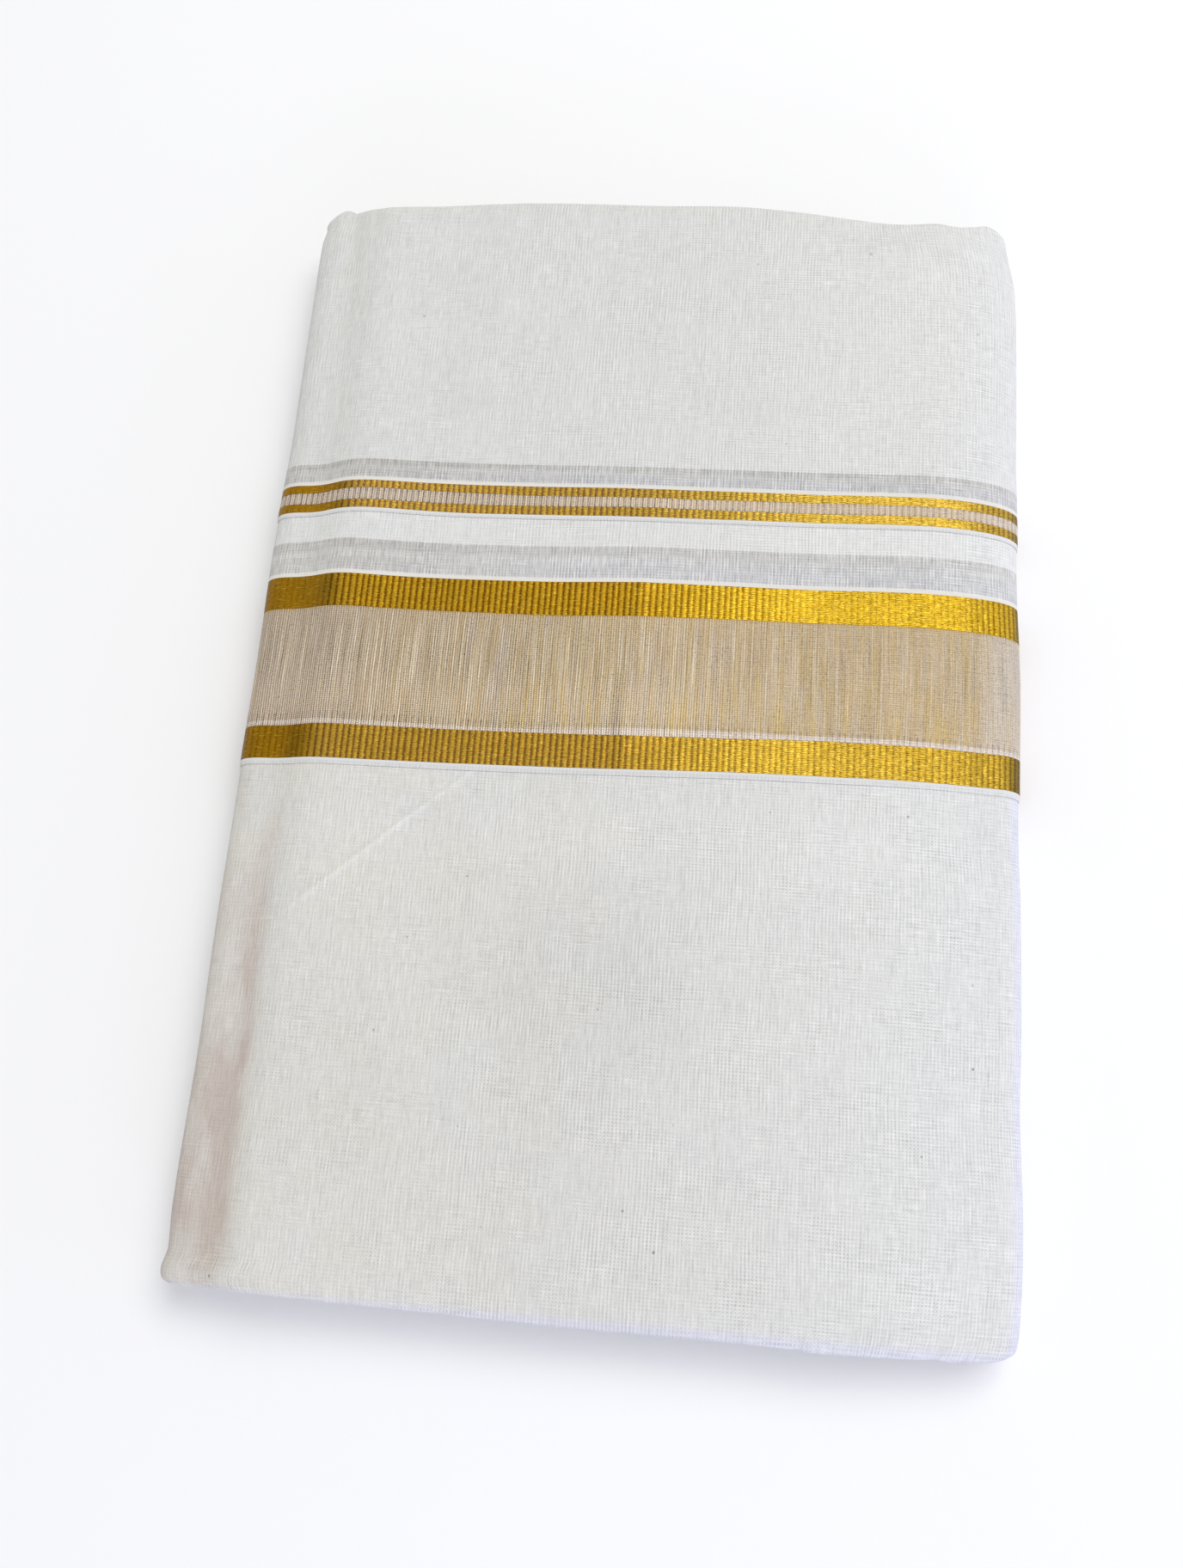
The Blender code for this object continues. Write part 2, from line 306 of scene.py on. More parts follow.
def warp(x, y, z):
    """From the plain bundle, with straight sides and a level top, to the real one."""
    rise = (HEIGHT + TAPER * y) / HEIGHT
    high = np.clip(z / HEIGHT, 0, 1.1)
    fall = sag(y) * ramp(x, 78, 113) * (1 - ramp(x, 114, 127.7)) * high**2
    inside_near, inside_far = y - near_along(x), far_along(x) - y
    droop = 1.5 * np.clip(1 - inside_near / 9, 0, 1.15) ** 2 + 1.8 * np.clip(1 - inside_far / 10, 0, 1.15) ** 2
    lean = waves(x * 0 + z, y, [(80.0, 118.0, 0.4, 0.20), (-60.0, 67.0, 2.0, 0.12)])
    out_x = x + (left_side(y) - LEFT0 + lean) * (1 - ramp(x, -112, -70)) + (right_side(y) - RIGHT0) * ramp(x, 60, 105)
    out_z = z * rise - fall - droop * high + relief(x, y) * high**1.5 * (1 - ramp(x, 100, 122))
    return out_x, y, out_z


def resample(points, step):
    """The same line with points at even steps."""
    points = np.array(points, float)
    length = np.concatenate([[0], np.cumsum(np.linalg.norm(np.diff(points, axis=0), axis=1))])
    s = np.linspace(0, length[-1], int(round(length[-1] / step)) + 1)
    return np.stack([np.interp(s, length, points[:, k]) for k in range(2)], 1)


def soften(points, passes):
    """Rounds the small corners of a line and keeps its ends."""
    for _ in range(passes):
        points[1:-1] = 0.25 * points[:-2] + 0.5 * points[1:-1] + 0.25 * points[2:]
    return points


def arc(cx, cz, a, b, start, end, count=40):
    t = np.radians(np.linspace(start, end, count))
    return [(cx + a * math.cos(q), cz + b * math.sin(q)) for q in t]


class Line:
    """A line in the X-Z plane, with its points, outward directions and distance along."""

    def __init__(self, points, step=0.25, passes=12):
        self.p = soften(resample(points, step), passes)
        gaps = np.linalg.norm(np.diff(self.p, axis=0), axis=1)
        self.s = np.concatenate([[0], np.cumsum(gaps)])
        t = np.gradient(self.p, axis=0)
        t /= np.linalg.norm(t, axis=1)[:, None]
        self.n = np.stack([-t[:, 1], t[:, 0]], 1)

    def at(self, s):
        return [np.interp(s, self.s, a) for a in (self.p[:, 0], self.p[:, 1], self.n[:, 0], self.n[:, 1])]


# ---------------------------------------------------------------- the outer strip's line, left to right over the top
_points = [(UNDER_X, LUMP_Z - LUMP_B), (LEFT0 + LUMP_A, LUMP_Z - LUMP_B)]
_points += arc(LEFT0 + LUMP_A, LUMP_Z, LUMP_A, LUMP_B, 268, 92)
_points += [(LEFT0 + d, HEIGHT + float(shoulder(d))) for d in np.arange(8.4, 70, 1.0)]
_points += [(x, HEIGHT) for x in np.arange(-56.0, RIGHT0 - ROLL_A, 4.0)]
_points += arc(RIGHT0 - ROLL_A, MID, ROLL_A, HEIGHT - MID, 90, 0, 60)
_points += arc(RIGHT0 - ROLL_UNDER, MID, ROLL_UNDER, MID, -1, -90, 40)
_points += [(END_X, 0.0)]
outer = Line(_points)
_zero = np.interp(0.0, outer.p[outer.p[:, 1] > 24][:, 0], outer.s[outer.p[:, 1] > 24])
outer.s = outer.s - _zero
START, END = outer.s[0], outer.s[-1]
BOTTOM = outer.s[np.argmax((outer.p[:, 1] < 0.02) & (outer.s > 0))]  # where the underside begins
LUMP_LOW = outer.s[np.argmax(outer.p[:, 0] < LEFT0 + LUMP_A)]  # where the fold group's underside ends


def proud(u):
    """Share of the flaps' layers that stand proud: all on top and round the folds, none where the cloth is pressed flat."""
    return ramp(u, LUMP_LOW - 2, LUMP_LOW + 9) * (1 - ramp(u, BOTTOM - 22, BOTTOM - 3))


def strip_depth(u):
    """Thickness of the outer strip's fold at its near edge."""
    return 1.5 - 0.38 * (1 - ramp(u, -118, -96))


def outer_point(u, y, out):
    x, z, nx, nz = outer.at(u)
    return warp(x + nx * out, y, z + nz * out)


# ---------------------------------------------------------------- meshes
def to_metres(x, y, z):
    return np.stack([(x - CENTRE[0]) * MM, (y - CENTRE[1]) * MM, z * MM], -1)


def grid_faces(columns, rows, start=0, closed=False):
    i, j = np.meshgrid(np.arange(columns - 1), np.arange(rows if closed else rows - 1), indexing="ij")
    a = i * rows + j
    b = i * rows + (j + 1) % rows
    return (np.stack([a, b, b + rows, a + rows], -1) + start).reshape(-1, 4)


def face_out(mesh):
    """Turns a closed mesh's faces outward."""
    bm = bmesh.new()
    bm.from_mesh(mesh)
    bmesh.ops.recalc_face_normals(bm, faces=bm.faces)
    bm.to_mesh(mesh)
    bm.free()


def build(name, parts, material, thickness=0.0, node=None):
    """One piece from grids of points. Each part is (points, weave, values, faces)."""
    verts = np.concatenate([p[0].reshape(-1, 3) for p in parts])
    weave = np.concatenate([p[1].reshape(-1, 2) for p in parts])
    faces, start = [], 0
    for points, _, _, quads in parts:
        faces.append(quads + start)
        start += points.reshape(-1, 3).shape[0]
    faces = np.concatenate(faces)
    mesh = bpy.data.meshes.new(name)
    mesh.vertices.add(len(verts))
    mesh.vertices.foreach_set("co", verts.astype(np.float32).ravel())
    mesh.loops.add(faces.size)
    mesh.loops.foreach_set("vertex_index", faces.astype(np.int32).ravel())
    mesh.polygons.add(len(faces))
    mesh.polygons.foreach_set("loop_start", np.arange(0, faces.size, 4, dtype=np.int32))
    mesh.polygons.foreach_set("loop_total", np.full(len(faces), 4, dtype=np.int32))
    mesh.update(calc_edges=True)
    layer = mesh.uv_layers.new(name="weave")
    layer.data.foreach_set("uv", (weave[faces.ravel()] * 0.01).astype(np.float32).ravel())
    if parts[0][2] is not None:
        values = np.concatenate([p[2].reshape(-1) for p in parts])
        attribute = mesh.attributes.new("rib", "FLOAT", "POINT")
        attribute.data.foreach_set("value", values.astype(np.float32))
    mesh.materials.append(material)
    mesh.validate()
    obj = bpy.data.objects.new(name, mesh)
    bpy.context.scene.collection.objects.link(obj)
    if thickness:
        wall = obj.modifiers.new("Wall", "SOLIDIFY")
        wall.thickness = thickness * MM
        wall.offset = -1.0
        bpy.context.view_layer.update()
        solid = bpy.data.meshes.new_from_object(obj.evaluated_get(bpy.context.evaluated_depsgraph_get()))
        obj.modifiers.clear()
        obj.data = solid
        bpy.data.meshes.remove(mesh)
        solid.name = name
    else:
        face_out(mesh)
    obj.data.shade_smooth()
    obj.data.set_sharp_from_angle(angle=math.radians(50))
    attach(obj, "root")
    if node:
        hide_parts(node)
    return obj


def steps(start, end, near_step, far_step=4.5):
    """Places along the cloth: close together where they show on top and at the folds, wider on the underside."""
    places, u = [start], start
    while u < end - near_step:
        u += near_step if u < BOTTOM + 2 else far_step
        places.append(min(u, end))
    if end - places[-1] > 0.2:
        places.append(end)
    return np.array(places)


def between(a, b, count, ease=False):
    t = np.linspace(0, 1, count)
    return list(0.5 - 0.5 * np.cos(math.pi * t)) if ease else list(t)


def panel(us, rows, rib=None):
    """A grid of cloth on the outer strip. Each row gives (y, out, across) at each place along."""
    u = np.repeat(us[:, None], len(rows), 1)
    y = np.stack([np.broadcast_to(r[0], us.shape) for r in rows], 1)
    out = np.stack([np.broadcast_to(r[1], us.shape) for r in rows], 1)
    across = np.stack([np.broadcast_to(r[2], us.shape) for r in rows], 1)
    values = None
    if rib is not None:
        values = rib(u, across)
        out = out + values[0]
        values = values[1]
    points = to_metres(*outer_point(u, y, out))
    return points, np.stack([u, across], -1), values, grid_faces(len(us), len(rows))[:, ::-1]


# ---------------------------------------------------------------- shader graphs
class Graph:
    def __init__(self, name, roughness, metallic=0.0, specular=0.5):
        self.material = bpy.data.materials.new(name)
        self.material.use_nodes = True
        self.tree = self.material.node_tree
        self.shader = self.tree.nodes["Principled BSDF"]
        self.shader.inputs["Roughness"].default_value = roughness
        self.shader.inputs["Metallic"].default_value = metallic
        self.shader.inputs["Specular IOR Level"].default_value = specular
        coords = self.tree.nodes.new("ShaderNodeUVMap")
        coords.uv_map = "weave"
        split = self.tree.nodes.new("ShaderNodeSeparateXYZ")
        self.link(coords.outputs["UV"], split.inputs[0])
        self.u = self.math("MULTIPLY", split.outputs[0], 100.0)
        self.v = self.math("MULTIPLY", split.outputs[1], 100.0)

    def link(self, a, b):
        self.tree.links.new(a, b)

    def put(self, value, socket):
        if isinstance(value, bpy.types.NodeSocket):
            self.link(value, socket)
        else:
            socket.default_value = value

    def math(self, operation, a, b=None, c=None, clamp=False):
        node = self.tree.nodes.new("ShaderNodeMath")
        node.operation = operation
        node.use_clamp = clamp
        for value, socket in zip((a, b, c), node.inputs):
            if value is not None:
                self.put(value, socket)
        return node.outputs[0]

    def add(self, *values):
        total = values[0]
        for value in values[1:]:
            total = self.math("ADD", total, value)
        return total

    def times(self, *values):
        total = values[0]
        for value in values[1:]:
            total = self.math("MULTIPLY", total, value)
        return total

    def point(self, x, y, z=0.0):
        node = self.tree.nodes.new("ShaderNodeCombineXYZ")
        for value, socket in zip((x, y, z), node.inputs):
            self.put(value, socket)
        return node.outputs[0]

    def noise(self, x_length, y_length, detail=2.0, shift=0.0, roughness=0.5):
        """Soft noise whose spots are about this long along and across the cloth, mm, from 0 to 1."""
        at = self.point(self.times(self.u, 1.0 / x_length), self.times(self.v, 1.0 / y_length), shift)
        node = self.tree.nodes.new("ShaderNodeTexNoise")
        self.link(at, node.inputs["Vector"])
        node.inputs["Scale"].default_value = 1.0
        node.inputs["Detail"].default_value = detail
        node.inputs["Roughness"].default_value = roughness
        return node.outputs[0]

    def map(self, value, a, b, c=0.0, d=1.0, smooth=True):
        node = self.tree.nodes.new("ShaderNodeMapRange")
        node.interpolation_type = "SMOOTHSTEP" if smooth else "LINEAR"
        for v, socket in zip((value, a, b, c, d), node.inputs):
            self.put(v, socket)
        return node.outputs[0]

    def wave(self, value, period, turn=0.0):
        """0 to 1 and back over each period."""
        return self.math("MULTIPLY_ADD", self.math("SINE", self.math("MULTIPLY_ADD", value, 2 * math.pi / period, turn)), 0.5, 0.5)

    def band(self, low, high, soft=0.25, value=None):
        """1 between two places across the cloth."""
        value = self.v if value is None else value
        return self.times(
            self.map(value, low - soft, low + soft), self.math("SUBTRACT", 1.0, self.map(value, high - soft, high + soft))
        )

    def mix(self, share, a, b):
        node = self.tree.nodes.new("ShaderNodeMix")
        node.data_type = "RGBA"
        self.put(share, node.inputs[0])
        for value, socket in ((a, node.inputs[6]), (b, node.inputs[7])):
            self.put(value if isinstance(value, bpy.types.NodeSocket) else (*value, 1.0), socket)
        return node.outputs[2]

    def scale(self, color, tone):
        """A colour made lighter or darker by a tone of about 1."""
        node = self.tree.nodes.new("ShaderNodeVectorMath")
        node.operation = "SCALE"
        self.put(color if isinstance(color, bpy.types.NodeSocket) else tuple(color), node.inputs[0])
        self.put(tone, node.inputs["Scale"])
        return node.outputs[0]

    def bump(self, height, distance, strength=1.0):
        node = self.tree.nodes.new("ShaderNodeBump")
        node.inputs["Strength"].default_value = strength
        node.inputs["Distance"].default_value = distance
        self.link(height, node.inputs["Height"])
        self.link(node.outputs[0], self.shader.inputs["Normal"])

    def colour(self, value):
        self.link(value, self.shader.inputs["Base Color"])


WHITE = (0.684, 0.682, 0.658)
CREAM = (0.79, 0.75, 0.68)


def cotton(
    name,
    grey_strip=None,
    cream_line=None,
    edge_line=None,
    specks=(),
    creases=(),
    shades=(),
    plain=1.0,
    painted_warmth=0.0,
    bright=0.0,
    painted_rim_light=False,
):
    """Plain woven cotton: reed lines along Y, finer threads both ways, slubs and clouds. The sparse strip beside a
    border lets the layer below show grey through it, and a cream line lies between it and the border."""
    g = Graph(name, 0.88, 0.0, 0.25)
    drift = g.math("MULTIPLY_ADD", g.noise(60, 34, 1.0, 3.0), 1.6, -0.8)
    reed = g.wave(g.add(g.u, drift), 1.13)
    uneven = g.noise(1.3, 15, 1.0, 9.0)
    threads = g.noise(0.40, 5, 2.0, 1.0)
    yarns = g.noise(0.95, 13, 1.0, 93.0)
    weft = g.noise(6, 0.38, 2.0, 5.0)
    lines_across = g.noise(11, 0.70, 1.0, 15.0)
    picks = g.wave(g.add(g.v, g.times(drift, 0.6)), 1.02)
    uneven_across = g.noise(9, 1.6, 1.0, 97.0)
    patch_u = g.map(g.noise(26, 20, 2.0, 11.0), 0.32, 0.68)
    patch_v = g.map(g.noise(17, 13, 2.0, 17.0), 0.38, 0.68)
    to_right = g.map(g.u, 45, 100)
    cloud = g.noise(26, 24, 2.0, 21.0)
    bars = g.noise(3.4, 160, 2.0, 44.0)
    grain = g.noise(0.62, 0.55, 1.0, 61.0)
    slub = g.map(g.noise(0.7, 12, 1.0, 27.0), 0.69, 0.79)
    slub_across = g.map(g.noise(7, 0.50, 1.0, 33.0), 0.70, 0.80)
    reed_lines = g.times(
        g.math("SUBTRACT", reed, 0.5),
        g.math("MULTIPLY_ADD", patch_u, 0.9, 0.45),
        g.math("MULTIPLY_ADD", uneven, 1.7, 0.15),
        g.map(g.u, -75, -20, 0.60, 1.0),
        g.math("MULTIPLY_ADD", to_right, -0.10, 1.0),
    )
    pick_lines = g.times(
        g.math("SUBTRACT", picks, 0.5),
        g.math("MULTIPLY_ADD", patch_v, 0.45, 0.30),
        g.math("MULTIPLY_ADD", g.map(g.u, -60, 60), 0.7, 0.45),
        g.math("MULTIPLY_ADD", uneven_across, 1.7, 0.05),
    )
    cells = g.times(g.math("SUBTRACT", reed, 0.5), g.math("SUBTRACT", picks, 0.5), g.math("MULTIPLY_ADD", patch_v, 0.9, 0.35))
    across_share = g.add(0.30, g.times(patch_v, 0.55), g.times(to_right, 0.32))
    weft_lines = g.times(g.math("SUBTRACT", weft, 0.5), across_share)
    thread_lines = g.math("SUBTRACT", threads, 0.5)
    sparse = g.band(*grey_strip, 0.3) if grey_strip else None
    tone = g.add(
        1.0 + bright,
        g.times(reed_lines, -0.15 * plain),
        g.times(cells, 0.30 * plain),
        g.times(pick_lines, 0.17 * plain),
        g.times(thread_lines, 0.40 * plain),
        g.times(weft_lines, 0.42 * plain),
        g.times(g.math("SUBTRACT", lines_across, 0.5), across_share, 0.24 * plain),
        g.math("MULTIPLY_ADD", yarns, 0.20 * plain, -0.10 * plain),
        g.math("MULTIPLY_ADD", grain, 0.22 * plain, -0.11 * plain),
        g.math("MULTIPLY_ADD", cloud, 0.05, -0.025),
        g.math("MULTIPLY_ADD", bars, 0.07, -0.035),
        g.times(slub, 0.06),
        g.times(slub_across, 0.05),
        # painted shade where the cloth turns down at the left side, and painted light making it a little lighter
        # towards the right
        g.times(g.band(-134.0, -127.5, 1.8, value=g.u), -0.13),
        g.times(g.map(g.u, 5, 85), 0.045),
    )
    if sparse is not None:
        see = g.map(g.noise(34, 60, 1.0, 41.0), 0.3, 0.7)
        low, high = grey_strip
        rim = g.times(g.band(high - 0.30 * (high - low), high, 0.4), g.map(g.u, 80, -40, 0.45, 1.0))
        pale_zone = g.times(g.band(low + 0.42 * (high - low), low + 0.66 * (high - low), 1.2), g.map(g.u, 60, -40, 0.2, 1.0))
        gauze = g.map(g.wave(g.add(g.u, drift, g.times(uneven, 0.8)), 1.08), 0.35, 0.95)
        more = g.add(
            g.times(g.math("SUBTRACT", gauze, 0.5), g.math("MULTIPLY_ADD", uneven, 0.22, 0.0)),
            g.times(thread_lines, 0.42),
            g.times(g.math("SUBTRACT", g.noise(26, 0.42, 1.0, 105.0), 0.5), 0.26),
            g.math("MULTIPLY_ADD", see, -0.05, -0.147),
            g.times(g.map(g.u, 0, 60), -0.022),
            g.times(rim, -0.06),
            g.times(pale_zone, 0.05),
            g.times(g.map(g.u, -30, -90), -0.020),
        )
        tone = g.add(tone, g.times(more, sparse))
    for x, y, half_x, half_y, amount in shades:  # soft broad shades
        away = g.math(
            "SQRT",
            g.add(
                g.math("POWER", g.times(g.math("SUBTRACT", g.u, x), 1.0 / half_x), 2.0),
                g.math("POWER", g.times(g.math("SUBTRACT", g.v, y), 1.0 / half_y), 2.0),
            ),
        )
        tone = g.add(tone, g.times(g.map(away, 1.3, 0.0), amount))
    lift = None
    for ax, ay, bx, by, half, height in creases:  # thin pressed creases
        size = math.hypot(bx - ax, by - ay)
        dx, dy = (bx - ax) / size, (by - ay) / size
        along = g.add(g.times(g.u, dx), g.times(g.v, dy), -ax * dx - ay * dy)
        off = g.math("ABSOLUTE", g.add(g.times(g.u, dy), g.times(g.v, -dx), ay * dx - ax * dy))
        wide = g.times(g.map(off, half, 0.0), g.map(along, 0.0, size * 0.3), g.map(along, size, size * 0.7))
        wide = g.times(wide, height)
        lift = wide if lift is None else g.add(lift, wide)
    # painted highlight: the creases are also painted lighter along their lines
    if lift is not None:
        tone = g.add(tone, g.times(lift, 0.075))
    colour = g.scale(WHITE, tone)
    if sparse is not None:
        tint = g.mix(g.map(g.v, low + 0.35 * (high - low), high - 2.0), (0.655, 0.653, 0.660), (0.672, 0.658, 0.625))
        tint = g.mix(g.times(g.map(g.u, -15, -95), 0.85), tint, (0.640, 0.616, 0.566))
        colour = g.mix(g.times(sparse, 0.6), colour, g.scale(tint, tone))
    if edge_line:  # the thicker threads of a selvedge
        colour = g.mix(g.times(g.band(*edge_line, 0.35), 0.9), colour, (0.745, 0.740, 0.725))
    if cream_line:
        colour = g.mix(g.band(*cream_line, 0.14), colour, CREAM)
    # painted light and shade: the field is tinted warmer towards the left, where a warm light falls, and a darker warm
    # tan is painted along the left shoulder's slope as its shade
    if painted_warmth:
        fold = g.times(
            g.map(g.u, -103.0, -112.5),
            g.map(g.v, 0.0, -165.0, 0.08, 1.27),
            g.map(g.v, -190.0, -176.0, 0.45, 1.0),
            g.add(0.80, g.times(g.band(-116.0, -108.0, 3.0, value=g.u), 0.25)),
            g.math("MULTIPLY_ADD", g.map(g.noise(9, 30, 2.0, 51.0), 0.3, 0.7), 0.75, 0.42),
        )
        field = g.times(g.map(g.u, 70, -80), g.map(g.noise(30, 26, 2.0, 57.0), 0.28, 0.62, 0.25, 1.0))
        colour = g.mix(g.times(field, 0.85), colour, g.scale((0.692, 0.676, 0.612), tone))
        colour = g.mix(g.times(fold, painted_warmth), colour, g.scale((0.550, 0.481, 0.430), tone))
    if painted_rim_light:  # painted light: the folds' rims at the right and along the near edge are tinted blue-white, as the bluish low light falls on them
        rim_right = g.band(125.8, 150.0, 2.5, value=g.u)
        rim_near = g.map(g.v, -187.9, -190.6)
        share = g.math("MINIMUM", g.add(g.times(rim_right, 0.50), g.times(rim_near, 0.48)), 0.6)
        colour = g.mix(share, colour, g.scale((0.640, 0.650, 0.778), tone))
    for x, y, size, depth_of in specks:
        off = g.math(
            "SQRT",
            g.add(
                g.math("POWER", g.math("SUBTRACT", g.u, x), 2.0), g.math("POWER", g.math("SUBTRACT", g.v, y), 2.0)
            ),
        )
        spot = g.times(g.map(off, size * 1.5, size * 0.4), depth_of)
        colour = g.mix(spot, colour, (0.20, 0.16, 0.12))
    g.colour(colour)
    height = g.add(g.times(reed_lines, -0.6), g.times(thread_lines, 1.4), g.times(weft_lines, 1.8), g.times(slub, 0.5))
    if lift is not None:
        height = g.add(height, g.times(lift, 3.5))
    g.bump(height, 0.00009, 0.8)
    g.shader.inputs["Sheen Weight"].default_value = 0.12
    g.shader.inputs["Sheen Roughness"].default_value = 0.5
    return g.material


def rib_input(g):
    node = g.tree.nodes.new("ShaderNodeAttribute")
    node.attribute_type = "GEOMETRY"
    node.attribute_name = "rib"
    return node.outputs["Fac"]


def dark_reflection(g, at):
    """Painted dark reflection: 1 where the cloth turns down at the two sides, where the gold would reflect the dark."""
    right = g.times(g.map(g.u, at, at + 6.0), g.math("MULTIPLY_ADD", g.map(g.u, 128, 142), -0.75, 1.0))
    left = g.times(g.map(g.u, -123.5, -129.5), g.math("MULTIPLY_ADD", g.map(g.u, -133, -141), -0.75, 1.0))
    return g.add(right, left)


def gold(name, pale=0.0, left=0.95, middle=1.0, right=0.83, end=1.0, dark_at=-104.0, turn_at=124.0):
    """Gold thread laid over thick weft ribs, crossed by fine threads that show more to the right. Light and shade are
    painted
    into its colour: bright beaded ridges and brown grooves, brighter towards the right, bright glints in streaks, dark
    ochre where the band turns down at the left and in the shoulder's valley, and a dark reflection where it turns down
    at the sides."""
    g = Graph(name, 0.42, 0.88, 0.2)
    rib = rib_input(g)
    bend = g.noise(2.0, 4, 1.0, 4.0)
    cross = g.wave(g.add(g.v, g.times(bend, 1.1)), 0.58)
    strand = g.noise(2.6, 0.36, 2.0, 6.0)
    bead = g.noise(0.9, 0.62, 1.0, 2.0)
    rib_tone = g.noise(2.4, 30, 1.0, 42.0)
    patch = g.noise(12, 9, 2.0, 12.0)
    streak = g.map(g.noise(2.6, 0.5, 1.0, 19.0), 0.58, 0.72)
    to_right = g.map(g.u, -15, 40)
    turned = g.map(g.u, -100, -109)
    valley = g.map(g.math("ABSOLUTE", g.add(g.u, -dark_at)), 6.0, 0.0)
    # painted light and shade: the grooves are painted dark brown and the ridges bright, both brighter towards the
    # right, where the light falls
    groove = g.mix(to_right, (0.255, 0.105, 0.001), (0.44, 0.235, 0.006))
    ridge = g.mix(to_right, (0.635, 0.368, 0.018), (0.86, 0.548, 0.034))
    edge_of_rib = g.add(rib, g.math("MULTIPLY_ADD", bead, 0.44, -0.22))
    colour = g.mix(g.map(edge_of_rib, 0.34, 0.98), groove, ridge)
    # painted shade: dark ochre where the band turns down at the left
    colour = g.mix(g.times(turned, 0.66), colour, (0.372, 0.166, 0.0008))
    # painted glints: bright yellow streaks, more towards the right
    colour = g.mix(g.times(streak, g.math("MULTIPLY_ADD", to_right, 0.25, 0.30)), colour, (0.90, 0.66, 0.12))
    if pale:
        colour = g.mix(g.times(g.map(g.u, -106, -98), pale), colour, (0.78, 0.70, 0.50))
    tone = g.add(
        0.88,
        g.times(g.math("SUBTRACT", cross, 0.5), g.math("MULTIPLY_ADD", to_right, 0.30, 0.14)),
        g.times(g.math("SUBTRACT", strand, 0.5), g.math("MULTIPLY_ADD", to_right, 0.55, 0.55)),
        g.math("MULTIPLY_ADD", bead, 0.60, -0.30),
        g.math("MULTIPLY_ADD", rib_tone, 0.30, -0.15),
        g.math("MULTIPLY_ADD", patch, 0.28, -0.14),
        # painted shade in the shoulder's valley at dark_at
        g.times(valley, -0.25),
    )
    # painted light: the gold is darker at the left and brighter towards the right and at its right end, and darker
    # still under the painted dark reflection at the sides
    painted_shine = g.times(g.map(g.u, -70, 25, left, middle), g.map(g.u, 45, 80, 1.0, right), g.map(g.u, 102, 117, 1.0, end))
    painted_shine = g.times(painted_shine, g.math("MULTIPLY_ADD", dark_reflection(g, turn_at), -0.60, 1.0))
    g.colour(g.scale(colour, g.times(tone, painted_shine)))
    g.link(g.map(strand, 0.3, 0.75, 0.52, 0.38), g.shader.inputs["Roughness"])
    g.bump(g.add(g.times(cross, 0.6), g.times(strand, 0.9), g.times(bead, 0.7)), 0.00012, 0.9)
    return g.material


